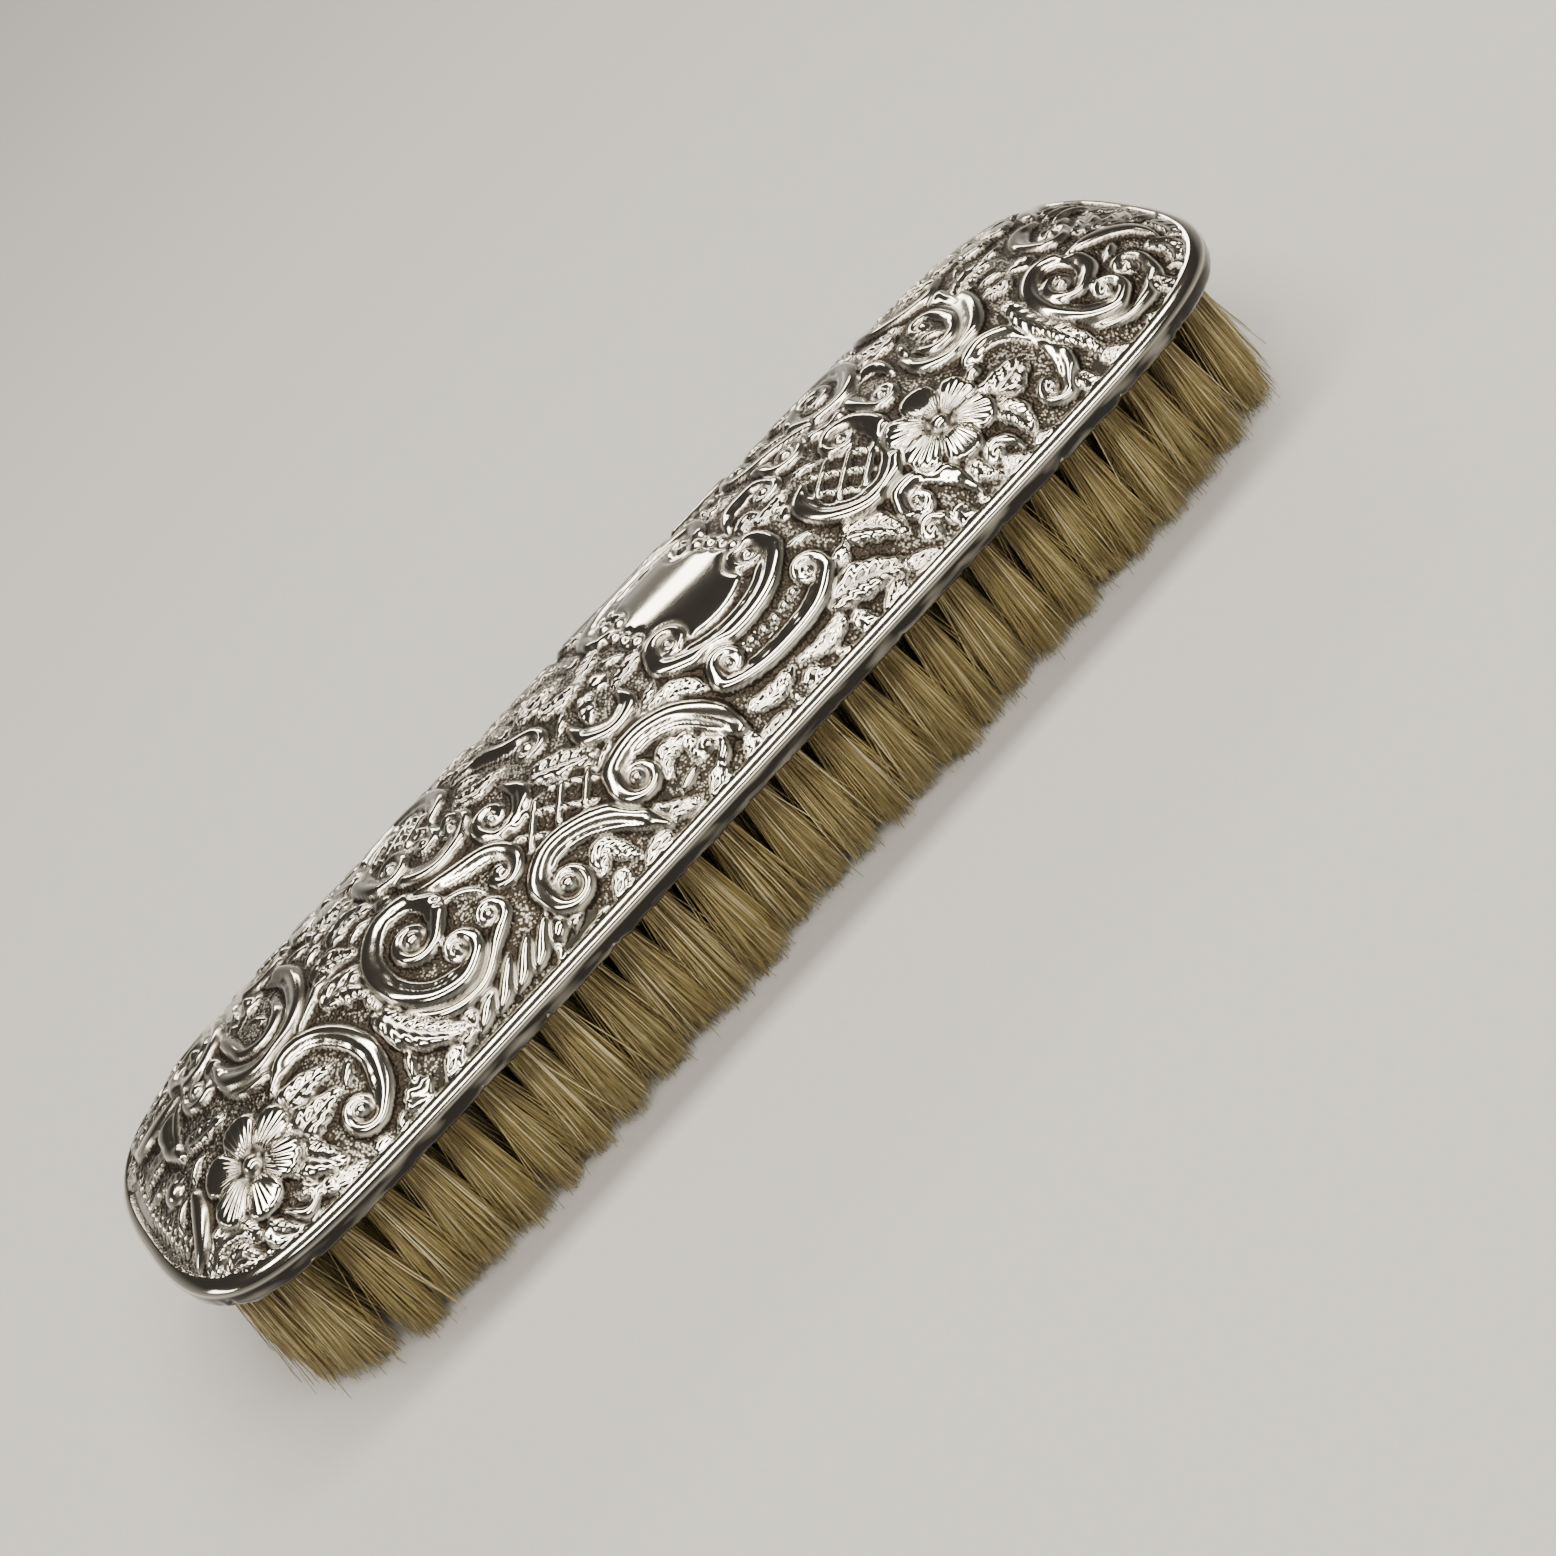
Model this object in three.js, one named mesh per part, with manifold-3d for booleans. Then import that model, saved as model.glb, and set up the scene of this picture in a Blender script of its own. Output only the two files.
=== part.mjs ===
// Vanity clothes brush with a formed silver back, standing on its bristles.
//
// Millimetres. +X runs along the brush, +Y across it and +Z up, out of the silver back.
// The origin is under the middle of the brush, on the plane of the bristle tips.

import * as THREE from 'three';
import { mergeVertices } from 'three/addons/utils/BufferGeometryUtils.js';
import Module from 'manifold-3d';

const wasm = await Module();
wasm.setup();

// ---- Driving dimensions ---------------------------------------------------------------

// Silver back: its outline is an oval with long, nearly straight sides and blunt ends.
const BACK_LENGTH = 178;
const BACK_WIDTH = 51;
const OUTLINE_POWER_X = 11;
const OUTLINE_POWER_Y = 2.75;
const SHEET = 0.5;
const RIM_SIDE = 2.6;
const BEVEL_RISE = 1.0;
const BEVEL_WIDTH = 1.6;
const CROWN_RISE = 9.0;
const CROWN_FULLNESS = 1.22;
const CROWN_DROP_TO_ENDS = 0.15;
const LIP_WIDTH = 1.7;

// Bristle stock, the drilled wooden board that the silver edge is turned under.
const STOCK_PROUD = 0.6;
const STOCK_ABOVE_RIM = 3.4;

// Bristles.
const BRISTLE_LENGTH = 20;
const EDGE_TO_OUTER_TUFT = 5.6;
const ROWS_PER_SIDE = 4;
const TUFT_PITCH = 5.75;
const TUFT_ROOT_HALF = 1.2;
const TUFT_OVERLAP = 1.0;
const ROW_GAP = 0.9;
const ROW_CORNER_GAP = 0.5;
const TUFT_BELOW_STOCK_TOP = 0.1;
const END_ARC_START = 0.86;

// Drawing wire that holds the tufts.
const WIRE_DIAMETER = 0.6;

// Clearances, facets, and how finely paths are sampled and points are joined.
const FIT_GAP = 0.3;
const FACETS_AROUND = 44;
const WIRE_FACETS_AROUND = 32;
const TUFT_SIDES = 4;
const HOLE_FACETS = 6;
const CUT_PAST = 0.5;
const PATH_SAMPLES = 400;
const MERGE_WITHIN = 1e-4;

// How far out each ring of the dome's facets lies, as a share of the dome's half size.
const DOME_RING_SHARES = [1, 0.97, 0.93, 0.87, 0.78, 0.64, 0.45, 0.22];

// ---- Levels and places that follow from them --------------------------------------------

const HALF_LENGTH = BACK_LENGTH / 2;
const HALF_WIDTH = BACK_WIDTH / 2;
const RIM_Z = BRISTLE_LENGTH;
const BEVEL_START_Z = RIM_Z + RIM_SIDE;
const DOME_START_Z = BEVEL_START_Z + BEVEL_RISE;
const CROWN_Z = DOME_START_Z + CROWN_RISE;
const INNER_INSET = SHEET + FIT_GAP;
const STOCK_LOW_Z = RIM_Z - STOCK_PROUD;
const STOCK_TOP_Z = RIM_Z + STOCK_ABOVE_RIM;
const WIRE_Z = STOCK_TOP_Z + FIT_GAP + WIRE_DIAMETER / 2;
const ROW_PITCH = (HALF_WIDTH - EDGE_TO_OUTER_TUFT) / (ROWS_PER_SIDE - 0.5);
const TIP_HALF_ALONG = TUFT_PITCH / 2 + TUFT_OVERLAP / 2;
const TIP_HALF_ACROSS = (ROW_PITCH - ROW_GAP) / 2;
const TUFT_TOP_Z = STOCK_TOP_Z - TUFT_BELOW_STOCK_TOP;

// ---- Solids ----------------------------------------------------------------------------

function solidFromGeometry(geometry) {
  const plain = geometry.index ? geometry.toNonIndexed() : geometry.clone();
  plain.deleteAttribute('normal');
  plain.deleteAttribute('uv');
  const merged = mergeVertices(plain, MERGE_WITHIN);
  const vertProperties = new Float32Array(merged.attributes.position.array);
  const triVerts = new Uint32Array(merged.index.array);
  return new wasm.Manifold(new wasm.Mesh({ numProp: 3, vertProperties, triVerts }));
}

function geometryFromSolid(solid) {
  const mesh = solid.getMesh();
  const geometry = new THREE.BufferGeometry();
  geometry.setAttribute('position', new THREE.BufferAttribute(new Float32Array(mesh.vertProperties), 3));
  geometry.setIndex(new THREE.BufferAttribute(new Uint32Array(mesh.triVerts), 1));
  geometry.computeVertexNormals();
  return geometry;
}

function signedPower(value, power) {
  return Math.sign(value) * Math.abs(value) ** power;
}

// A point of the silver back's outline, moved inwards along the outline's normal by inset.
function outlinePoint(angle, inset) {
  const x = HALF_LENGTH * signedPower(Math.cos(angle), 2 / OUTLINE_POWER_X);
  const y = HALF_WIDTH * signedPower(Math.sin(angle), 2 / OUTLINE_POWER_Y);
  const slopeX = signedPower(x / HALF_LENGTH, OUTLINE_POWER_X - 1) * (OUTLINE_POWER_X / HALF_LENGTH);
  const slopeY = signedPower(y / HALF_WIDTH, OUTLINE_POWER_Y - 1) * (OUTLINE_POWER_Y / HALF_WIDTH);
  const size = Math.hypot(slopeX, slopeY);
  return new THREE.Vector2(x - (inset * slopeX) / size, y - (inset * slopeY) / size);
}

// Height of the dome above the inner edge of the bevel.
function domeRise(x, y) {
  const shareX = Math.abs(x) / (HALF_LENGTH - BEVEL_WIDTH);
  const shareY = Math.abs(y) / (HALF_WIDTH - BEVEL_WIDTH);
  const reach = Math.min(1, shareX ** OUTLINE_POWER_X + shareY ** OUTLINE_POWER_Y);
  const drop = 1 - CROWN_DROP_TO_ENDS * Math.min(1, shareX) ** 2;
  return CROWN_RISE * drop * (1 - reach ** (1 / CROWN_FULLNESS));
}

// A turned solid whose rings are then moved onto the oval outline. Each ring gives the
// inset from the outline, the share of the ring's size that is kept, and a height that may
// depend on the place.
function ovalSolid(rings, facets) {
  const profile = rings.map((ring, j) => new THREE.Vector2(ring.share, j));
  const geometry = new THREE.LatheGeometry(profile, facets);
  const position = geometry.attributes.position;
  for (let i = 0; i < position.count; i += 1) {
    const ring = rings[i % rings.length];
    const step = Math.floor(i / rings.length) % facets;
    const point = outlinePoint((step / facets) * 2 * Math.PI, ring.inset);
    point.multiplyScalar(ring.share);
    position.setXYZ(i, point.x, point.y, ring.height(point.x, point.y));
  }
  const solid = solidFromGeometry(geometry);
  return solid.volume() > 0 ? solid : solidFromGeometry(turnedInsideOut(geometry));
}

function turnedInsideOut(geometry) {
  const turned = geometry.clone();
  const index = turned.index.array;
  for (let i = 0; i < index.length; i += 3) {
    [index[i], index[i + 1]] = [index[i + 1], index[i]];
  }
  return turned;
}

// Everything inside the silver back's outer face, moved inwards by inset, from lowZ to topZ.
function backShape(inset, lowZ, topZ = CROWN_Z) {
  const capped = (z) => Math.min(z, topZ);
  const domeZ = (x, y) => capped(DOME_START_Z - inset + domeRise(x, y));
  const rings = [
    { inset, share: 0, height: () => lowZ },
    { inset, share: 1, height: () => lowZ },
    { inset, share: 1, height: () => capped(BEVEL_START_Z - inset / 2) },
    ...DOME_RING_SHARES.map((share) => ({ inset: inset + BEVEL_WIDTH, share, height: domeZ })),
    { inset: inset + BEVEL_WIDTH, share: 0, height: domeZ },
  ];
  return ovalSolid(rings, FACETS_AROUND);
}

// A slab over the whole brush between two heights, for trimming.
function slab(lowZ, highZ) {
  const geometry = new THREE.BoxGeometry(BACK_LENGTH * 2, BACK_WIDTH * 2, highZ - lowZ);
  geometry.translate(0, 0, (lowZ + highZ) / 2);
  return solidFromGeometry(geometry);
}

// A flat oval plate inset from the outline.
function ovalPlate(inset, lowZ, highZ) {
  const rings = [
    { inset, share: 0, height: () => lowZ },
    { inset, share: 1, height: () => lowZ },
    { inset, share: 1, height: () => highZ },
    { inset, share: 0, height: () => highZ },
  ];
  return ovalSolid(rings, FACETS_AROUND);
}

// ---- Tuft places ------------------------------------------------------------------------

// Each row is a list of points with the direction of the row. Even steps along a sampled
// path put the tufts at no more than the tuft pitch, and hold them back from the path's ends.
function rowPlaces(path) {
  const lengths = [0];
  for (let i = 1; i < path.length; i += 1) {
    lengths.push(lengths[i - 1] + path[i].distanceTo(path[i - 1]));
  }
  const margin = TIP_HALF_ALONG + ROW_CORNER_GAP / 2;
  const usable = lengths[lengths.length - 1] - 2 * margin;
  const steps = Math.max(1, Math.ceil(usable / TUFT_PITCH));
  const places = [];
  for (let k = 0; k <= steps; k += 1) {
    const target = margin + (usable * k) / steps;
    const i = Math.max(1, lengths.findIndex((length) => length >= target));
    const part = (target - lengths[i - 1]) / (lengths[i] - lengths[i - 1]);
    const point = path[i - 1].clone().lerp(path[i], part);
    const direction = path[i].clone().sub(path[i - 1]);
    places.push({ point, angle: Math.atan2(direction.y, direction.x) });
  }
  return places;
}

// The stretch of an inset outline between two angles.
function outlinePath(inset, fromAngle, toAngle) {
  const path = [];
  for (let i = 0; i <= PATH_SAMPLES; i += 1) {
    path.push(outlinePoint(fromAngle + ((toAngle - fromAngle) * i) / PATH_SAMPLES, inset));
  }
  return path;
}

// Rows that follow the outline have two long sides and two end arcs. The sides reach the
// same share of the half length at every inset.
function ringRows(number, inset) {
  const turn = Math.acos(END_ARC_START ** (OUTLINE_POWER_X / 2));
  return {
    [`bristle_row_${number}_near_side`]: rowPlaces(outlinePath(inset, -Math.PI + turn, -turn)),
    [`bristle_row_${number}_far_side`]: rowPlaces(outlinePath(inset, turn, Math.PI - turn)),
    [`bristle_row_${number}_right_end`]: rowPlaces(outlinePath(inset, -turn, turn)),
    [`bristle_row_${number}_left_end`]: rowPlaces(outlinePath(inset, Math.PI - turn, Math.PI + turn)),
  };
}

// Straight rows inside them, ending clear of the second ring's end arcs.
function straightRow(y, halfReach) {
  return rowPlaces([new THREE.Vector2(-halfReach, y), new THREE.Vector2(halfReach, y)]);
}

const SECOND_INSET = EDGE_TO_OUTER_TUFT + ROW_PITCH;
const INNER_REACH = HALF_LENGTH - SECOND_INSET - TIP_HALF_ACROSS - FIT_GAP;
const THIRD_REACH = INNER_REACH - TUFT_PITCH;
const THIRD_Y = ROW_PITCH * 1.5;
const FOURTH_Y = ROW_PITCH * 0.5;

const ROWS = {
  ...ringRows(1, EDGE_TO_OUTER_TUFT),
  ...ringRows(2, SECOND_INSET),
  bristle_row_3_near_side: straightRow(-THIRD_Y, THIRD_REACH),
  bristle_row_3_far_side: straightRow(THIRD_Y, THIRD_REACH),
  bristle_row_4_near_side: straightRow(-FOURTH_Y, INNER_REACH),
  bristle_row_4_far_side: straightRow(FOURTH_Y, INNER_REACH),
};

// ---- Pieces -----------------------------------------------------------------------------

// How far a tuft's corners reach from its middle at a height, along its row and across it.
function tuftHalfSizes(z) {
  const share = (TUFT_TOP_Z - z) / TUFT_TOP_Z;
  return {
    along: TUFT_ROOT_HALF + (TIP_HALF_ALONG - TUFT_ROOT_HALF) * share,
    across: TUFT_ROOT_HALF + (TIP_HALF_ACROSS - TUFT_ROOT_HALF) * share,
  };
}

// Gives a unit prism its half sizes at the foot and at the top, and puts it in its place.
function placedPrism(geometry, place, lowZ, highZ, low, high) {
  const position = geometry.attributes.position;
  for (let i = 0; i < position.count; i += 1) {
    const isTop = position.getZ(i) > 0;
    const size = isTop ? high : low;
    position.setXYZ(
      i,
      position.getX(i) * size.along,
      position.getY(i) * size.across,
      isTop ? highZ : lowZ,
    );
  }
  geometry.rotateZ(place.angle);
  geometry.translate(place.point.x, place.point.y, 0);
  return solidFromGeometry(geometry);
}

// A four-sided tuft that spreads from its root to its tip, with a corner towards each
// neighbour in the row, so that neighbours run into each other at their tips.
function tuft(place) {
  const prism = new THREE.CylinderGeometry(1, 1, 2, TUFT_SIDES);
  prism.rotateX(Math.PI / 2);
  return placedPrism(prism, place, 0, TUFT_TOP_Z, tuftHalfSizes(0), tuftHalfSizes(TUFT_TOP_Z));
}

// A drilled hole that clears the corners of the tuft at the stock's underside.
function tuftHole(place) {
  const mouth = tuftHalfSizes(STOCK_LOW_Z);
  const radius = Math.max(mouth.along, mouth.across) + FIT_GAP;
  const corner = radius / Math.cos(Math.PI / HOLE_FACETS);
  const drill = new THREE.CylinderGeometry(corner, corner, 2, HOLE_FACETS);
  drill.rotateX(Math.PI / 2);
  const unit = { along: 1, across: 1 };
  return placedPrism(drill, place, STOCK_LOW_Z - CUT_PAST, STOCK_TOP_Z + CUT_PAST, unit, unit);
}

// One row of tufts. Neighbours meet where they spread towards the tips.
function bristleRow(places) {
  return places.map(tuft).reduce((row, next) => row.add(next));
}

// The wooden stock fills the bottom of the back, steps in to pass the silver lip, and is
// drilled through for every tuft.
function bristleStock() {
  const board = backShape(INNER_INSET, RIM_Z + SHEET + FIT_GAP).intersect(slab(0, STOCK_TOP_Z));
  const step = ovalPlate(LIP_WIDTH + FIT_GAP, STOCK_LOW_Z, RIM_Z + SHEET + FIT_GAP + CUT_PAST);
  const holes = Object.values(ROWS).flat().map(tuftHole);
  return holes.reduce((stock, hole) => stock.subtract(hole), board.add(step));
}

// The thin silver sheet: domed, with an upright side, and a lip turned in under the stock.
function silverBack() {
  const outside = backShape(0, RIM_Z);
  const inside = backShape(SHEET, RIM_Z + SHEET);
  const mouth = ovalPlate(LIP_WIDTH, RIM_Z - CUT_PAST, RIM_Z + SHEET + CUT_PAST);
  return outside.subtract(inside).subtract(mouth);
}

function ringWireSolid(inset, clearance) {
  const half = WIRE_DIAMETER / 2 + clearance;
  const corner = (dInset, dZ) => ({ inset: inset + dInset, share: 1, height: () => WIRE_Z + dZ });
  const rings = [corner(half, 0), corner(0, -half), corner(-half, 0), corner(0, half), corner(half, 0)];
  return ovalSolid(rings, WIRE_FACETS_AROUND);
}

function straightWireSolid(y, places, clearance) {
  const half = WIRE_DIAMETER / 2 + clearance;
  const xs = places.map((place) => place.point.x);
  const reach = Math.max(...xs) + TUFT_ROOT_HALF + clearance;
  const geometry = new THREE.CylinderGeometry(half, half, reach * 2, HOLE_FACETS);
  geometry.rotateZ(Math.PI / 2);
  geometry.translate(0, y, WIRE_Z);
  return solidFromGeometry(geometry);
}

function straightWire(y, rowName) {
  return (clearance) => straightWireSolid(y, ROWS[rowName], clearance);
}

const WIRES = {
  drawing_wire_row_1: (clearance) => ringWireSolid(EDGE_TO_OUTER_TUFT, clearance),
  drawing_wire_row_2: (clearance) => ringWireSolid(SECOND_INSET, clearance),
  drawing_wire_row_3_near: straightWire(-THIRD_Y, 'bristle_row_3_near_side'),
  drawing_wire_row_3_far: straightWire(THIRD_Y, 'bristle_row_3_far_side'),
  drawing_wire_row_4_near: straightWire(-FOURTH_Y, 'bristle_row_4_near_side'),
  drawing_wire_row_4_far: straightWire(FOURTH_Y, 'bristle_row_4_far_side'),
};

// The pitch that fills the dome above the stock and beds the wires.
function pitchFilling() {
  const dome = backShape(INNER_INSET, RIM_Z + SHEET + FIT_GAP);
  let filling = dome.intersect(slab(STOCK_TOP_Z + FIT_GAP, CROWN_Z + CUT_PAST));
  for (const wire of Object.values(WIRES)) {
    filling = filling.subtract(wire(FIT_GAP));
  }
  return filling;
}

// ---- Materials and scene graph ------------------------------------------------------------

const silver = new THREE.MeshStandardMaterial({ color: 0xd8d4c8, roughness: 0.16, metalness: 1 });
const wood = new THREE.MeshStandardMaterial({ color: 0x8a6238, roughness: 0.55, metalness: 0 });
const bristle = new THREE.MeshStandardMaterial({ color: 0x9c8655, roughness: 0.6, metalness: 0 });
const brass = new THREE.MeshStandardMaterial({ color: 0xb08d4a, roughness: 0.35, metalness: 1 });
const pitch = new THREE.MeshStandardMaterial({ color: 0x2e2319, roughness: 0.8, metalness: 0 });

const brush = new THREE.Group();

function addPiece(name, solid, material) {
  const piece = new THREE.Mesh(geometryFromSolid(solid), material);
  piece.name = name;
  brush.add(piece);
}

addPiece('silver_back', silverBack(), silver);
addPiece('pitch_filling', pitchFilling(), pitch);
addPiece('bristle_stock', bristleStock(), wood);
for (const [name, wire] of Object.entries(WIRES)) {
  addPiece(name, wire(0), brass);
}
for (const [name, places] of Object.entries(ROWS)) {
  addPiece(name, bristleRow(places), bristle);
}

export default brush;
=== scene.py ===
import math

import bpy
import numpy as np
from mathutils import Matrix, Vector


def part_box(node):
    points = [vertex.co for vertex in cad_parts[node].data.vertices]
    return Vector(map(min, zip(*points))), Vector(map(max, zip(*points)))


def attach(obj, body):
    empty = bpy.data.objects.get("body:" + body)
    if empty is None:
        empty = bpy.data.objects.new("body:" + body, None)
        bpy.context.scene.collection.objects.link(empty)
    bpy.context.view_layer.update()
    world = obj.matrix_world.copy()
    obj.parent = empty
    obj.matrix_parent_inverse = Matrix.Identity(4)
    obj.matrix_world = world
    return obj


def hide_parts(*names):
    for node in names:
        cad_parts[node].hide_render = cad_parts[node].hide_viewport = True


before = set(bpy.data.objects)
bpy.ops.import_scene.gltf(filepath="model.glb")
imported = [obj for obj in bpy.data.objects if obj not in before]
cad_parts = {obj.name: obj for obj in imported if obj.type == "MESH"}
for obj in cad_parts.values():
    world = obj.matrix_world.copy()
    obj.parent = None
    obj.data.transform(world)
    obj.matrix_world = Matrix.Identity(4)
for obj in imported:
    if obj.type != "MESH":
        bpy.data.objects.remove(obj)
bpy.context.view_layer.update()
MM = 0.001

# ---- Silver back: the sheet ---------------------------------------------------------------
# One thin sheet of silver, stamped in a die, then chased from the front. It is a long low
# dome with a plain bevelled border, an upright side, and a lip turned in under the stock.

back_low, back_high = (np.array(corner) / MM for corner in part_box("silver_back"))
HALF_LENGTH = float(back_high[0])
HALF_WIDTH = float(back_high[1])
RIM_Z = float(back_low[2])
POWER_X, POWER_Y = 11, 2.75
SIDE_HEIGHT, BEVEL_RISE, BEVEL_WIDTH = 2.6, 1.0, 1.6
SHEET_THICK = 0.5
LIP_WIDTH = 1.7
DOME_Z = RIM_Z + SIDE_HEIGHT + BEVEL_RISE
CROWN_RISE = float(back_high[2]) - DOME_Z
CROWN_FULLNESS, CROWN_DROP = 1.22, 0.15
CELLS_ALONG, CELLS_ACROSS = 560, 160
SIDE_CROWDING = 0.09
OUTLINE_STEPS = 4000
GIRTH_STEPS = (180, 260)


def quarter_outline(inset):
    """One quarter of the oval |x/a|^11 + |y/b|^2.75 = 1, from the middle of a long side to
    the tip of an end, moved inwards along its normals by inset. Gives the points, their
    outward normals, and the index of the point whose normal is at 45 degrees."""
    p = np.linspace(0, 1, OUTLINE_STEPS)
    side_y = (1 - p**POWER_X) ** (1 / POWER_Y)
    end_x = (1 - p**POWER_Y) ** (1 / POWER_X)
    slope_x = p ** (POWER_X - 1) * POWER_X / HALF_LENGTH
    slope_y = side_y ** (POWER_Y - 1) * POWER_Y / HALF_WIDTH
    turn = int(np.argmax(slope_x > slope_y))
    side = np.c_[p * HALF_LENGTH, side_y * HALF_WIDTH][:turn]
    q = p[(p * HALF_WIDTH < side[-1, 1])][::-1]
    end = np.c_[np.interp(q, p, end_x) * HALF_LENGTH, q * HALF_WIDTH]
    points = np.r_[side, end]
    normals = np.c_[
        (points[:, 0] / HALF_LENGTH) ** (POWER_X - 1) * POWER_X / HALF_LENGTH,
        (points[:, 1] / HALF_WIDTH) ** (POWER_Y - 1) * POWER_Y / HALF_WIDTH,
    ]
    normals /= np.linalg.norm(normals, axis=1)[:, None]
    return points - inset * normals, normals, turn


def even_steps(points, shares):
    """Places on a polyline at the given shares of its length. Columns after x and y are
    carried along in the same way."""
    steps = np.linalg.norm(np.diff(points[:, :2], axis=0), axis=1)
    along = np.r_[0, np.cumsum(steps)]
    at = np.asarray(shares) * along[-1]
    return np.stack([np.interp(at, along, column) for column in points.T], axis=1)


def dome_rise(x, y):
    """Height of the plain dome over the inner edge of the border: the crown's rise times
    one less the oval's reach, rounded off, and a little lower towards both ends."""
    across_x = np.abs(x) / (HALF_LENGTH - BEVEL_WIDTH)
    across_y = np.abs(y) / (HALF_WIDTH - BEVEL_WIDTH)
    reach = np.minimum(1, across_x**POWER_X + across_y**POWER_Y)
    drop = 1 - CROWN_DROP * np.minimum(1, across_x) ** 2
    return CROWN_RISE * drop * (1 - reach ** (1 / CROWN_FULLNESS))


def girth(x, y):
    """Distance from the spine to a point, measured over the dome's surface across it. It is
    added up in steps once, in a table, and read between the table's lines."""
    table_x = np.linspace(0, HALF_LENGTH, GIRTH_STEPS[0])
    table_y = np.linspace(0, HALF_WIDTH, GIRTH_STEPS[1])
    rise = dome_rise(table_x[:, None], table_y[None, :])
    steps = np.hypot(np.diff(rise, axis=1), np.diff(table_y)[None, :])
    lengths = np.c_[np.zeros(len(table_x)), np.cumsum(steps, axis=1)]
    at_x = np.abs(x) / HALF_LENGTH * (len(table_x) - 1)
    at_y = np.abs(y) / HALF_WIDTH * (len(table_y) - 1)
    i = np.clip(at_x.astype(int), 0, len(table_x) - 2)
    j = np.clip(at_y.astype(int), 0, len(table_y) - 2)
    fx, fy = at_x - i, at_y - j
    low = lengths[i, j] * (1 - fy) + lengths[i, j + 1] * fy
    high = lengths[i + 1, j] * (1 - fy) + lengths[i + 1, j + 1] * fy
    return np.sign(y) * (low * (1 - fx) + high * fx)


def oval_grid(along, across, inset):
    """A grid over the oval, blended from its four edges (a Coons patch), so that its cells
    stay even and its edge lies on the outline. Gives x, y, and the edge's outward normals
    in order round the oval, from the corner at low x and low y."""
    points, normals, turn = quarter_outline(inset)
    both = np.c_[points, normals]
    quarter_side, quarter_end = both[: turn + 1], both[turn:]
    mirror_x, mirror_y = np.array([-1, 1, -1, 1]), np.array([1, -1, 1, -1])
    spread = np.linspace(-1, 1, across + 1)
    shares_across = (spread * (1 + SIDE_CROWDING - SIDE_CROWDING * spread**2) + 1) / 2
    far = np.r_[(quarter_side * mirror_x)[::-1], quarter_side[1:]]
    far = even_steps(far, np.linspace(0, 1, along + 1))
    right = np.r_[(quarter_end * mirror_y), quarter_end[::-1][1:]]
    right = even_steps(right, shares_across)
    near, left = far * mirror_y, right * mirror_x
    u = np.linspace(0, 1, along + 1)[:, None, None]
    v = shares_across[None, :, None]
    ruled_far = (1 - v) * near[:, None, :2] + v * far[:, None, :2]
    ruled_end = (1 - u) * left[None, :, :2] + u * right[None, :, :2]
    corners = (
        (1 - u) * (1 - v) * near[0, :2]
        + u * (1 - v) * near[-1, :2]
        + (1 - u) * v * far[0, :2]
        + u * v * far[-1, :2]
    )
    patch = ruled_far + ruled_end - corners
    edge = np.r_[near[:-1], right[:-1], far[::-1][:-1], left[::-1][:-1]]
    edge_normals = edge[:, 2:] / np.linalg.norm(edge[:, 2:], axis=1)[:, None]
    return patch[..., 0], patch[..., 1], edge_normals


# ---- Silver back: the chased ornament -----------------------------------------------------
# Rococo scrolls, leaves, two flowers and a plain oval panel, worked up from a ground that is
# matted with a fine punch. Places are millimetres along the back, and round it from the spine.

EDGE_ROUND = 0.38
OUTLINE_WIDTH, OUTLINE_SINK, OUTLINE_CUT = 0.42, 0.72, 0.07
MATTED_FROM = 0.3
BEAD_FROM = 1.15
VOLUTE_IN, VOLUTE_TAPER, FREE_END = 0.68, (0.9, 0.5), 0.35
BALL_SHARE, BALL_LEAST = 0.46, 0.85
VEIN_STRETCH, VEIN_SLANT, LEAF_NOTCH = 1.15, 0.8, 0.12
MIDRIB_WIDTH, MIDRIB_CUT = 0.42, 0.45
PETAL_HEIGHT, PETAL_GAP, BOSS_SHARE = 0.95, 0.36, 0.21
FAN_FOOT = 0.12
LATTICE_HEIGHT, LATTICE_RIB = 0.8, 0.62
PANEL_LEVEL, PANEL_BULGE = 0.45, 0.18
CW, CCW = -1, 1


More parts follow.
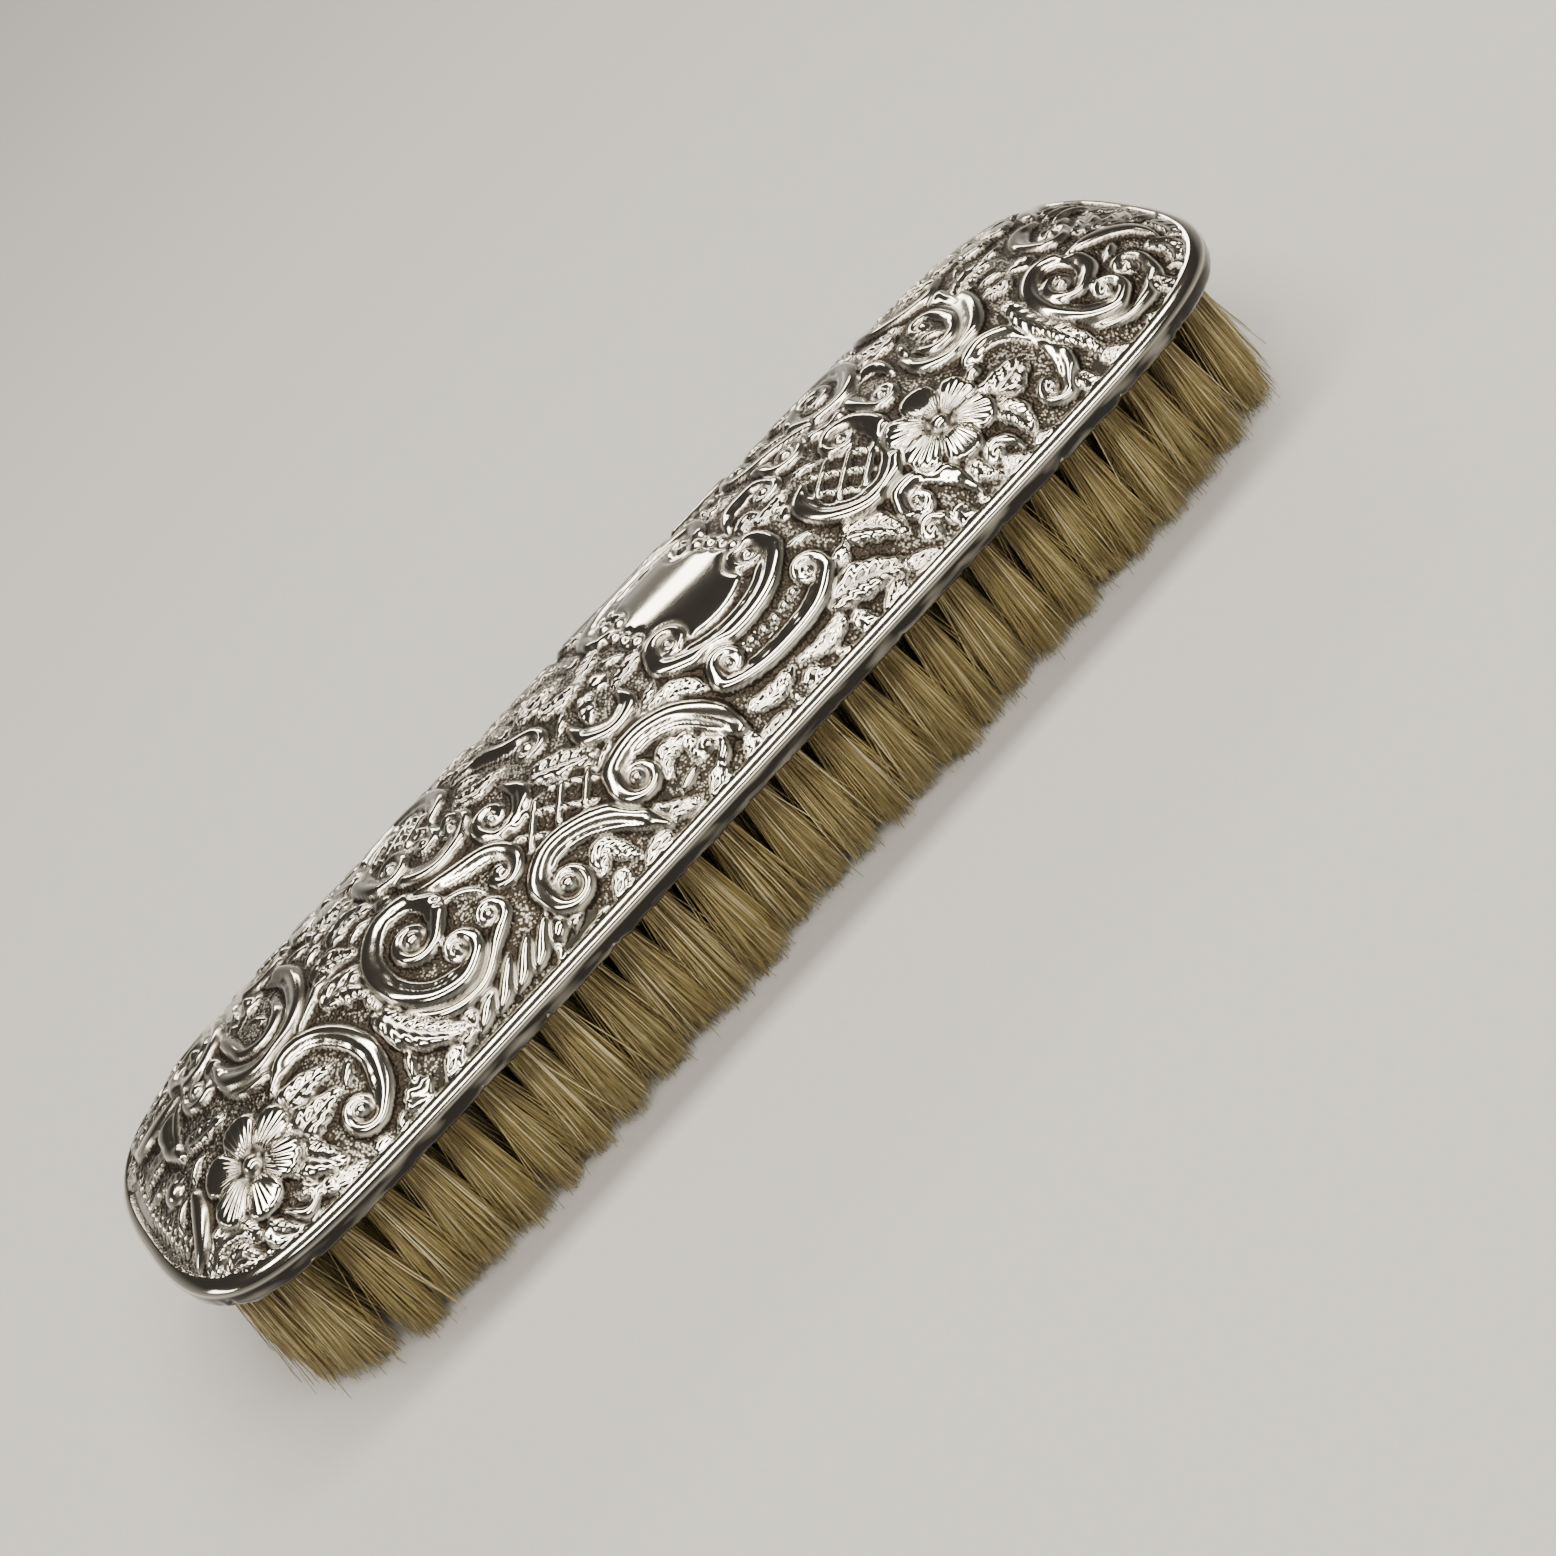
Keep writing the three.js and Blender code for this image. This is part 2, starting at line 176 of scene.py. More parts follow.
class Relief:
    """The ornament's height over its ground, with the matting and the chased veins. While
    turned is -1, everything is laid turned half round, on the other side of the spine."""

    def __init__(self, x, s):
        self.x, self.s = x.ravel(), s.ravel()
        self.height = np.zeros(x.size)
        self.ground = np.ones(x.size)
        self.vein = np.zeros(x.size)
        self.vein_depth = np.zeros(x.size)
        self.turned = 1

    def window(self, points, reach):
        """The grid points within reach of the box round some places, and their places."""
        low, high = points.min(0) - reach, points.max(0) + reach
        x, s = self.x * self.turned, self.s * self.turned
        inside = (x > low[0]) & (x < high[0]) & (s > low[1]) & (s < high[1])
        index = np.nonzero(inside)[0]
        return index, x[index], s[index]

    def lay(self, index, outside, height, vein=0.0, vein_depth=0.0):
        """Sets a shape over what is there. Outside is the distance past its edge, and is
        negative within it. A chased line sinks what lies next to the shape."""
        cover = np.clip(-outside / EDGE_ROUND, 0, 1)
        cover = cover * cover * (3 - 2 * cover)
        line = np.exp(-((np.maximum(outside, -0.1) / OUTLINE_WIDTH) ** 2))
        under = self.height[index] * (1 - OUTLINE_SINK * line) - OUTLINE_CUT * line
        self.height[index] = under * (1 - cover) + height * cover
        self.ground[index] *= 1 - np.clip(-outside / MATTED_FROM + 0.3, 0, 1)
        taken = cover > 0.5
        depth = np.broadcast_to(vein_depth, index.shape) * cover
        phase = np.broadcast_to(vein, index.shape)
        self.vein[index[taken]] = phase[taken]
        self.vein_depth[index] = np.where(taken, depth, self.vein_depth[index] * (1 - cover))


def smooth_path(points, step=0.3):
    """A curve through the points, by Catmull-Rom: each span follows its neighbours' slope."""
    points = np.asarray(points, float)
    ends = np.r_[[2 * points[0] - points[1]], points, [2 * points[-1] - points[-2]]]
    pieces = []
    for a, b, c, d in zip(ends, ends[1:], ends[2:], ends[3:]):
        t = np.linspace(0, 1, max(3, int(np.hypot(*(c - b)[:2]) / step)), endpoint=False)
        t = t[:, None]
        cubic = 2 * a - 5 * b + 4 * c - d + t * (3 * (b - c) + d - a)
        pieces.append(b + 0.5 * t * (c - a + t * cubic))
    return np.r_[np.concatenate(pieces), [points[-1]]]


def near_path(path, x, s):
    """For each place, the distance to the path, the length along it, and the side. Gives
    the path's whole length too."""
    a, b = path[:-1, :2], path[1:, :2]
    run = b - a
    length = np.maximum(np.hypot(run[:, 0], run[:, 1]), 1e-6)
    dx, ds = x[:, None] - a[None, :, 0], s[:, None] - a[None, :, 1]
    t = np.clip((dx * run[:, 0] + ds * run[:, 1]) / length**2, 0, 1)
    squared = (dx - t * run[:, 0]) ** 2 + (ds - t * run[:, 1]) ** 2
    best = squared.argmin(1)
    rows = np.arange(len(x))
    along = np.r_[0, np.cumsum(length)][best] + t[rows, best] * length[best]
    side = np.sign(run[best, 0] * ds[rows, best] - run[best, 1] * dx[rows, best])
    return np.sqrt(squared[rows, best]), along, side, length.sum()


def volute(centre, radius, hand, turns, towards):
    """A spiral that leaves a circle on the line to another place and winds inwards."""
    gap = np.asarray(towards, float)[:2] - centre
    reach = max(math.hypot(*gap), radius * 1.02)
    start = math.atan2(gap[1], gap[0]) + hand * math.acos(radius / reach)
    t = np.linspace(0, 1, int(8 * turns) + 3)
    angle = start + hand * t * turns * 2 * math.pi
    r = radius * (1 - VOLUTE_IN * t)
    return np.c_[centre[0] + r * np.cos(angle), centre[1] + r * np.sin(angle)]


def scroll(relief, points, half, height=0.95, curl_in=None, curl_out=None, inner=1):
    """A rib along a path, tapering into a volute with a ball at either end. Its section is
    round, and a wide rib has a lower bead beside it, on the inner side of the bend. A curl
    is its centre, radius, hand and number of turns."""
    parts, taper = [np.array(points, float)], [np.ones(len(points))]
    balls = []
    for curl, end in ((curl_in, 0), (curl_out, -1)):
        if curl is None:
            taper[end][end] = FREE_END
            continue
        centre, radius, hand, turns = curl
        spiral = volute(np.array(centre), radius, hand, turns, points[end])
        narrowing = np.linspace(*VOLUTE_TAPER, len(spiral))
        if end == 0:
            parts.insert(0, spiral[::-1])
            taper.insert(0, narrowing[::-1])
        else:
            parts.append(spiral)
            taper.append(narrowing)
        balls.append((centre, radius))
    path = smooth_path(np.c_[np.concatenate(parts), np.concatenate(taper)])
    index, x, s = relief.window(path[:, :2], half + 1)
    distance, along, side, _ = near_path(path, x, s)
    steps = np.r_[0, np.cumsum(np.hypot(*np.diff(path[:, :2], axis=0).T))]
    width = half * np.interp(along, steps, path[:, 2])
    q = side * inner * distance / width
    wide = np.clip((width - BEAD_FROM) / 0.25, 0, 1)
    shift = 0.3 * wide
    rib = np.sqrt(np.clip(1 - ((q + shift) / (1 - shift)) ** 2, 0, 1)) ** 0.85
    bead = 0.6 * np.sqrt(np.clip(1 - ((q - 0.7) / 0.3) ** 2, 0, 1)) * wide
    section = 0.1 + 0.9 * np.maximum(rib, bead)
    relief.lay(index, distance - width, height * section * (0.7 + 0.3 * width / half))
    for centre, radius in balls:
        ball(relief, centre, max(BALL_SHARE * radius, BALL_LEAST), height * 1.08)


def ball(relief, centre, radius, height=0.95):
    """A round boss: a half sphere squeezed to its height."""
    index, x, s = relief.window(np.array([centre], float), radius + 1)
    r = np.hypot(x - centre[0], s - centre[1])
    dome = np.sqrt(np.clip(1 - (r / radius) ** 2, 0, 1))
    relief.lay(index, r - radius, height * (0.15 + 0.85 * dome))


def leaf(relief, points, half, height=0.75, pitch=1.3):
    """A leaf along its midrib, widest before its middle and pointed at its tip. Its edge is
    notched at every second vein, and each half is bowed up from the midrib."""
    path = smooth_path(points)
    index, x, s = relief.window(path, half + 1)
    distance, along, _, total = near_path(path, x, s)
    t = along / total
    phase = (along - VEIN_SLANT * distance) / (VEIN_STRETCH * pitch)
    notch = 1 - LEAF_NOTCH * np.abs(np.sin(np.pi * phase / 2)) ** 3
    swell = np.sin(np.pi * np.clip(t, 0, 1) ** 0.75) ** 0.7
    width = np.maximum(half * (0.14 + 0.86 * swell) * notch, 0.05)
    q = np.clip(distance / width, 0, 1)
    rounded = np.sqrt(np.clip(1 - q**4, 0, 1))
    midrib = np.exp(-((distance / MIDRIB_WIDTH) ** 2))
    bowed = 0.15 + 0.6 * rounded + 0.25 * np.sin(np.pi * q) - MIDRIB_CUT * midrib
    past_end = np.where((t <= 0) | (t >= 1), 0.25, 0)
    fade = np.clip(width / half * 1.6, 0.4, 1)
    depth = 0.85 * np.clip(distance / 0.35 - 0.3, 0, 1)
    relief.lay(index, distance - width + past_end, bowed * height * fade, phase, depth)


def band(relief, points, half, height=0.75):
    """A smooth pod-shaped rib, round in section, that swells along its middle."""
    path = smooth_path(points)
    index, x, s = relief.window(path, half + 1)
    distance, along, _, total = near_path(path, x, s)
    swell = np.sin(np.pi * np.clip(along / total, 0.02, 0.98)) ** 0.55
    width = half * np.maximum(swell, 0.2)
    dome = np.sqrt(np.clip(1 - (distance / width) ** 2, 0, 1))
    relief.lay(index, distance - width, height * (0.1 + 0.9 * dome) * (0.6 + 0.4 * width / half))


def flower(relief, centre, radius, petals, turn, squash):
    """Round petals that cup upwards from a boss, each with chased lines from its foot. A
    petal's edge is the radius times a share that falls off to the sides of the petal."""
    index, x, s = relief.window(np.array([centre], float), radius + 1.5)
    dx, ds = x - centre[0], (s - centre[1]) / squash
    r, angle = np.hypot(dx, ds), np.arctan2(ds, dx) - turn
    share = angle * petals / (2 * np.pi)
    within = 2 * (share - np.round(share))
    edge = radius * (0.66 + 0.34 * (1 - np.abs(within) ** 2.6) ** 0.62)
    rim = np.clip(r / edge, 0, 1)
    between = np.exp(-(((1 - np.abs(within)) * r * np.pi / petals / PETAL_GAP) ** 2))
    rise = 0.58 + 0.3 * np.sin(np.pi * 0.62 * rim)
    cup = rise - 0.4 * between + 0.06 * np.cos(np.pi * within)
    boss = radius * BOSS_SHARE
    engraved = np.clip(1.25 - 1.1 * rim, 0, 1) * np.clip((r - boss) / 0.8, 0, 1)
    relief.lay(index, r - edge, PETAL_HEIGHT * cup, within * 3.5 + 0.5, engraved)
    ring = np.exp(-(((r - boss * 1.15) / 0.34) ** 2))
    relief.height[index] -= 0.3 * ring * (r < radius * 0.45)
    ball(relief, centre, boss * 0.9, PETAL_HEIGHT * 0.95)


def fan(relief, centre, radius, direction, spread, ribs, height):
    """A shell or palmette: round ribs that open from a foot to a scalloped edge."""
    index, x, s = relief.window(np.array([centre], float), radius * 1.1 + 1)
    dx, ds = x - centre[0], s - centre[1]
    r = np.hypot(dx, ds)
    angle = (np.arctan2(ds, dx) - direction + np.pi) % (2 * np.pi) - np.pi
    share = angle / spread * ribs
    within = 2 * (share - np.floor(share) - 0.5)
    scallop = 0.86 + 0.14 * np.sqrt(1 - within**2)
    edge = radius * scallop * (1 - 0.25 * (2 * angle / spread) ** 2)
    past = np.maximum(r - edge, (np.abs(angle) - spread / 2) * r)
    rounded = np.sqrt(np.clip(1 - within**2, 0, 1))
    section = 0.3 + 0.7 * rounded * np.clip(r / radius / FAN_FOOT, 0, 1)
    relief.lay(index, past, height * section * (0.55 + 0.45 * np.clip(r / radius, 0, 1)))


def lattice(relief, centre, radii, tilt, pitch):
    """Crossed ribs inside an oval, with the matted ground left in the diamonds."""
    centre, radii = np.array(centre, float), np.array(radii, float)
    index, x, s = relief.window(np.array([centre - radii, centre + radii]), 0.5)
    dx, ds = x - centre[0], s - centre[1]
    out = (np.sqrt((dx / radii[0]) ** 2 + (ds / radii[1]) ** 2) - 1) * radii.min()
    for turn in (tilt, tilt + math.pi * 0.5):
        along = dx * math.cos(turn) + ds * math.sin(turn)
        off = np.abs((along / pitch + 0.5) % 1 - 0.5) * pitch
        section = 0.25 + 0.75 * np.sqrt(np.clip(1 - (off / LATTICE_RIB) ** 2, 0, 1))
        relief.lay(index, np.maximum(off - LATTICE_RIB, out), LATTICE_HEIGHT * section)


def panel(relief, centre, radii):
    """The plain polished oval for a monogram, left blank and gently convex."""
    centre, radii = np.array(centre, float), np.array(radii, float)
    index, x, s = relief.window(np.array([centre - radii, centre + radii]), 1)
    share = np.hypot((x - centre[0]) / radii[0], (s - centre[1]) / radii[1])
    bulge = PANEL_BULGE * (1 - share**2)
    relief.lay(index, (share - 1) * radii.min(), PANEL_LEVEL + bulge)


def border_band(relief):
    """The ornament of a long side, from the left end to the right."""
    # Left end: a ribbed shell curl, a polished band, and small leaves against the border.
    leaf(relief, [(-84.5, -16.5), (-81, -15.4), (-78, -17.5), (-77, -20.5)], 2.4, 0.8, 1.25)
    leaf(relief, [(-83.5, -19), (-80.5, -18.8), (-78.5, -22)], 1.75, 0.7, 1.15)
    leaf(relief, [(-75.8, -19.6), (-75.2, -22.2), (-72.6, -24.6)], 1.9, 0.8)
    leaf(relief, [(-69, -22.5), (-66.5, -24), (-63, -24.8)], 1.4, 0.7, 1.15)
    scroll(
        relief, [(-73.2, -20.6), (-71.5, -23.2)], 1.0, 0.8,
        curl_out=((-70.2, -21.6), 1.3, CCW, 0.9),
    )
    # Feathered stem under the first round scroll, and the leaf beside it.
    fan(relief, (-53.4, -26.2), 4.0, 1.75, 2.1, 7, 0.75)
    fan(relief, (-60.5, -26), 2.2, 1.6, 2.2, 5, 0.6)
    for k in range(7):
        foot, tip = -47.5 + 3.1 * k, -41.8 + 3.1 * k
        rise = 0.055 * (k - 2) ** 2
        band(relief, [(foot, -25), (foot + 2.6, -23.6 + rise), (tip, -20.6 + rise)], 1.25, 0.85)
    leaf(relief, [(-50.6, -12.6), (-49.8, -17), (-47.6, -20.8), (-44.4, -23.4)], 2.7, 0.85, 1.35)
    leaf(relief, [(-54.6, -6), (-51.2, -6.2), (-48.8, -9.4), (-50, -13.2)], 3.1, 0.8)
    # Flower one, with its leaves.
    leaf(relief, [(-69, -14), (-64.6, -12.2), (-58.6, -12.9)], 2.7, 0.8, 1.35)
    leaf(relief, [(-69, -14.6), (-64.4, -16.2), (-59.4, -16.1)], 2.6, 0.8, 1.35)
    leaf(relief, [(-69.5, -16), (-67.2, -19.4), (-64.4, -23.2)], 2.6, 0.8, 1.35)
    band(relief, [(-79.4, -6.4), (-80.2, -9.4), (-82.2, -12.2), (-85.4, -13.8)], 1.75, 0.95)
    flower(relief, (-72.4, -13.3), 7.4, 6, 0.25, 0.92)
    # First C-scroll, and the round double scroll with its stems.
    scroll(
        relief, [(-65.2, -9.2), (-61.4, -7.2), (-57.8, -8.2), (-55.2, -11.6), (-54.2, -15.8),
        (-55.6, -19.8)], 1.65, curl_out=((-59.4, -20.4), 2.3, CW, 1.0), inner=-1,
    )
    scroll(
        relief, [(-36.2, -18.8), (-40, -20.8), (-44.8, -20), (-48.2, -16.2)], 1.25, 0.8,
        curl_in=((-33.8, -15.4), 1.9, CCW, 1.0), inner=-1,
    )
    scroll(
        relief, [(-41.2, -18.4), (-45, -16.8), (-47.4, -12.8), (-47, -7.6), (-43.4, -3.7),
        (-39, -4.5), (-37.3, -8.2)], 1.75, 1.0, curl_in=((-39, -15.6), 2.0, CCW, 0.9),
        curl_out=((-41.8, -9.8), 2.9, CW, 1.0), inner=-1,
    )
    # Long ribs that run down to the lattice, and the lattice.
    lattice(relief, (-19.2, -12.4), (7.4, 4.0), 0.78, 3.3)
    scroll(
        relief, [(-37.6, -4.4), (-33.4, -7.2), (-29.2, -8.8)], 1.6, 0.85,
        curl_out=((-29.2, -12.4), 2.7, CW, 0.75), inner=-1,
    )
    band(relief, [(-36.6, -8.6), (-33.6, -10.6), (-32.3, -13)], 0.8, 0.6)
    leaf(relief, [(-18.8, -5.2), (-15, -7.8), (-11, -11)], 2.5)
    # Scrolls A and B on the border, with the leaf between them.
    leaf(relief, [(-15.8, -19.6), (-12.6, -23), (-7.6, -25.4)], 2.0, 0.85, 1.45)
    leaf(relief, [(-22.4, -22.8), (-19.6, -20.6), (-17.4, -24.8)], 1.75, 0.6, 1.15)
    scroll(
        relief, [(-12.6, -24.6), (-15.2, -19.8), (-18.8, -16.9), (-23.4, -15.7), (-27, -17.4)],
        1.95, 1.0, curl_out=((-25.2, -20.4), 2.6, CCW, 1.0),
    )
    leaf(relief, [(-13.4, -12.4), (-8.4, -12), (-3.6, -11.2), (-0.4, -9.2)], 1.55, 0.7, 1.25)
    leaf(relief, [(-4.4, -13), (0.2, -13.2), (2.6, -16.4)], 2.0, 0.75, 1.25)
    leaf(relief, [(-8.6, -20.6), (-7, -18.2), (-4, -18.6), (-4.2, -22.4)], 1.6, 0.65, 1.15)
    scroll(
        relief, [(-4.8, -24.6), (-2.4, -23.6)], 1.0, 0.7, curl_out=((-2.6, -21.4), 1.4, CCW, 0.9),
    )
    scroll(
        relief, [(1.4, -24.6), (0.4, -19.8), (-2.4, -15.7), (-7, -13.9), (-11.4, -14.6)], 2.05,
        1.0, curl_out=((-10.8, -17.6), 2.4, CCW, 1.0),
    )
    scroll(relief, [(-11.2, -4.2), (-10.8, -7.8), (-7.8, -10), (-4.6, -9), (-4, -6)], 1.55, 0.85)
    # Leaves where the sheet was struck with the marks, left without them.
    leaf(relief, [(3.4, -22), (7, -23), (11, -22.2)], 1.6, 0.7, 1.25)
    leaf(relief, [(19.4, -22.6), (15.4, -23.4), (11.6, -22.4)], 1.6, 0.7, 1.25)
    fan(relief, (11.4, -26), 2.4, 1.57, 2.6, 5, 0.6)
    # Acanthus beyond the panel, and the ring with a lattice inside.
    leaf(relief, [(22.6, -19.4), (24.4, -17.4), (26.6, -16)], 1.5, 0.75, 1.15)
    leaf(relief, [(18.6, -20.4), (23.6, -21.2), (29.6, -24.6)], 3.0, 0.9, 1.35)
    leaf(relief, [(26.8, -15), (30, -17.6), (32.2, -21.6)], 2.6, 0.85, 1.35)
    lattice(relief, (34, -8.6), (6.2, 5.6), 0.62, 3.1)
    scroll(
        relief, [(40.2, -3.2), (41.1, -7), (39.6, -11.6), (36, -14.4), (31.6, -14.4), (28, -11.4),
        (27.5, -7.4), (29.8, -4.6)], 1.8, 1.0, curl_in=((37.4, -3.6), 2.3, CCW, 1.0), inner=-1,
    )
    scroll(
        relief, [(41.3, -24.6), (41, -20.8), (38.8, -17.6), (35.4, -17.2)], 1.5, 0.9,
        curl_out=((35.6, -19.6), 1.9, CCW, 1.0),
    )
    scroll(
        relief, [(36.8, -25.4), (36.2, -23.6)], 1.0, 0.7, curl_out=((34.2, -23.6), 1.6, CCW, 0.9),
    )
    # Flower two, with its leaves and the C-scroll that holds them.
    leaf(relief, [(44, -20), (43.2, -23), (45, -25.4)], 1.4, 0.7, 1.15)
    scroll(
        relief, [(48.8, -24.6), (48.4, -22.6)], 1.0, 0.7, curl_out=((46.4, -22.8), 1.5, CCW, 0.9),
    )
    leaf(relief, [(49.6, -16.6), (54, -16.9), (58.6, -16)], 2.95, 0.85, 1.35)
    leaf(relief, [(49.8, -17.2), (51.6, -20.6), (51, -24.8)], 2.1, 0.85)
    flower(relief, (45.4, -14.2), 7.2, 6, 0.35, 0.98)
    scroll(
        relief, [(53.2, -12.4), (54.6, -10.7), (57.4, -10.2), (60.2, -12.2), (61.8, -16),
        (60.8, -20.2)], 1.55, curl_out=((57, -22), 2.1, CW, 0.85), inner=-1,
    )
    ball(relief, (53.1, -12.5), 1.2)
    # Feathered column, and the last round scroll with its stems.
    leaf(relief, [(63.4, -7.4), (62.8, -13), (63.6, -18), (64.6, -24)], 2.1)
    scroll(
        relief, [(76.8, -19.8), (73.4, -21.7), (69, -21.6), (65.8, -18.8)], 1.25, 0.8,
        curl_in=((76.2, -16), 1.9, CCW, 1.0), inner=-1,
    )
    scroll(
        relief, [(70.2, -19.6), (67.2, -18), (65.4, -14), (66.2, -9.8), (69.4, -7.4), (72.6, -8.6),
        (73.2, -12)], 1.65, 1.0, curl_in=((71.6, -17.2), 1.7, CCW, 0.9),
        curl_out=((69.2, -12.2), 2.5, CW, 1.0), inner=-1,
    )
    band(relief, [(73.4, -8.2), (78, -8.6), (81.6, -10.4), (82.8, -13.6)], 1.7, 0.95)
    leaf(relief, [(80, -14.6), (82, -16.6), (80.2, -19.8)], 2.0, 0.75, 1.15)
    leaf(relief, [(84.6, -9), (85.2, -12), (84, -15)], 1.5, 0.7, 1.15)
    fan(relief, (72, -26), 2.6, 1.57, 2.4, 6, 0.65)


def crown(relief):
    """The ornament along the spine, round the plain panel."""
    # Left: the bud, the arched scroll and the concentric scroll.
    for s in np.arange(-11.6, 12, 1.45):
        band(relief, [(-86.5 + 0.01 * s * s, s), (-84.2 + 0.012 * s * s, s * 0.96)], 0.62, 0.5)
    fan(relief, (-83.8, -2.8), 4.6, 0.1, 1.9, 7, 0.7)
    ball(relief, (-81.6, -2.9), 1.7)
    leaf(relief, [(-77.4, -0.4), (-74.6, -2.6), (-70.8, -4.2)], 1.75)
    scroll(
        relief, [(-78, -1.4), (-78, 3.4), (-75.4, 7.4), (-71.2, 8.2)], 2.0,
        curl_out=((-71.6, 4.2), 2.9, CW, 1.0), inner=-1,
    )
    scroll(
        relief, [(-69.2, -1.6), (-66.8, -5), (-62, -6), (-56.4, -4.2), (-51.6, -1.8), (-48.6, -3)],
        1.35, 0.85,
    )
    scroll(
        relief, [(-68.2, 4), (-67.8, -0.4), (-64.6, -3.8), (-60, -3.8), (-56.2, -1), (-54.6, 4),
        (-56.2, 8.6)], 1.75, 1.0, curl_out=((-60.2, 8.6), 2.5, CCW, 1.0),
    )
    scroll(
        relief, [(-65.2, 3.4), (-64.6, 0.4), (-61.6, -1.2), (-58.6, 0.8), (-58, 4)], 1.1, 0.7,
        curl_in=((-63.6, 7), 1.9, CW, 0.9),
    )
    leaf(relief, [(-53.4, -1), (-50.4, -0.4), (-47, -3.6)], 2.0, 0.8)
    leaf(relief, [(-49, 2), (-45.4, 3.4), (-41.4, 1)], 2.1)
    leaf(relief, [(-50.6, 7.6), (-46, 8.4), (-41, 6.4)], 2.4)
    fan(relief, (-42.4, -0.6), 2.9, 0.2, 2.2, 6, 0.7)
    # The open scroll and its small neighbours, as far as the panel.
    scroll(
        relief, [(-28.8, 11), (-33, 8), (-36.6, 4.2), (-37, -0.4), (-33.8, -3.5), (-29.6, -3.2)],
        1.65, curl_out=((-29, -0.2), 2.1, CCW, 0.9),
    )
    scroll(
        relief, [(-35, 2.8), (-33.4, 5.2), (-31, 4.4)], 1.1, 0.75,
        curl_out=((-32.4, 2.2), 1.8, CW, 0.9), inner=-1,
    )
    scroll(
        relief, [(-21.4, -2), (-20.6, -5.6), (-22.8, -8.4), (-26.4, -8)], 1.45, 0.85,
        curl_out=((-25.2, -5.2), 2.1, CW, 0.9), inner=-1,
    )
    leaf(relief, [(-27, 3.4), (-23.6, 1), (-19.4, 0.6)], 2.0)
    scroll(
        relief, [(-24.6, 8.4), (-20.4, 6.6), (-17.2, 3)], 1.5, 0.85,
        curl_out=((-15.8, -0.6), 2.2, CW, 1.0), inner=-1,
    )
    leaf(relief, [(-14.6, 7), (-10.4, 5.4), (-6, 6.8)], 2.0)
    leaf(relief, [(-12.6, 3), (-8.4, 1), (-4.4, 1.8)], 1.9)
    fan(relief, (-2.6, -1.8), 3.4, 3.1, 2.0, 6, 0.7)
    # Acanthus curls, hooks, and the concentric scroll.
    leaf(relief, [(19.4, -3.4), (22.6, -1.4), (25, -5.6)], 1.75)
    scroll(
        relief, [(20, 0), (22.4, 3), (26.4, 3.4)], 1.5, 0.85, curl_out=((27, 0.8), 2.0, CW, 0.9),
        inner=-1,
    )
    leaf(relief, [(17.4, 7.4), (21, 8.6), (25.8, 7)], 2.25, 0.8)
    leaf(relief, [(22.2, -3.2), (26, -3.4), (29.4, -2)], 1.5, 0.7)
    fan(relief, (26.8, -6.6), 2.4, 2.4, 2.0, 5, 0.6)
    scroll(
        relief, [(37.8, 8.8), (36, 5), (36.6, 1.6), (39.6, 0.2)], 1.55, 0.9,
        curl_out=((39.6, 3), 2.0, CCW, 0.9),
    )
    scroll(relief, [(28.4, 8.8), (30.2, 4.8)], 1.6, 0.9, curl_out=((32.8, 3.4), 2.5, CCW, 1.0))
    scroll(
        relief, [(48.8, -1.4), (48.8, 2.2), (46, 3.8), (43.2, 2), (42.8, -2)], 1.35, 0.9,
        curl_out=((45.2, -3.2), 2.1, CCW, 1.0),
    )
    fan(relief, (45.8, 5.2), 3.2, 1.5, 2.2, 6, 0.7)
    leaf(relief, [(49.6, 5), (52.8, 6.8), (56.4, 5.8)], 2.1)
    scroll(
        relief, [(50.6, -1), (51.4, -5.4), (55, -7.6), (59.2, -6), (61.8, -1.6), (61.9, 3.2),
        (59.8, 7.6)], 1.8, 1.0,
    )
    scroll(
        relief, [(53, -1), (53.8, -4), (56.4, -4.6), (58.8, -2), (59, 1.6)], 1.1, 0.75,
        curl_out=((56.6, 1.8), 1.9, CCW, 0.9),
    )
    leaf(relief, [(62.6, 1), (66, 2.8), (70.4, 1.6)], 2.4, 0.8)
    fan(relief, (69.6, -5.6), 4.0, 1.4, 1.7, 6, 0.75)
    leaf(relief, [(63.6, -3), (65.4, -5), (67.6, -3.4)], 1.5, 0.7)
    scroll(
        relief, [(78.6, 4.6), (75, 3.4), (73, 0.2), (74.2, -3.4)], 1.5, 0.9,
        curl_out=((76.4, -1.6), 2.1, CCW, 0.9),
    )
    leaf(relief, [(77.6, -5), (80.4, -3.6), (82.6, 0.4)], 1.9, 0.8)
    leaf(relief, [(79.6, -6), (83, -6), (85.4, -3)], 1.75)
    for k in range(4):
        run = [(79.4, 2.4 + 2.2 * k), (82.8, 3.6 + 1.9 * k), (85.8 - 0.4 * k, 2.2 + 1.9 * k)]
        band(relief, run, 0.85, 0.75)


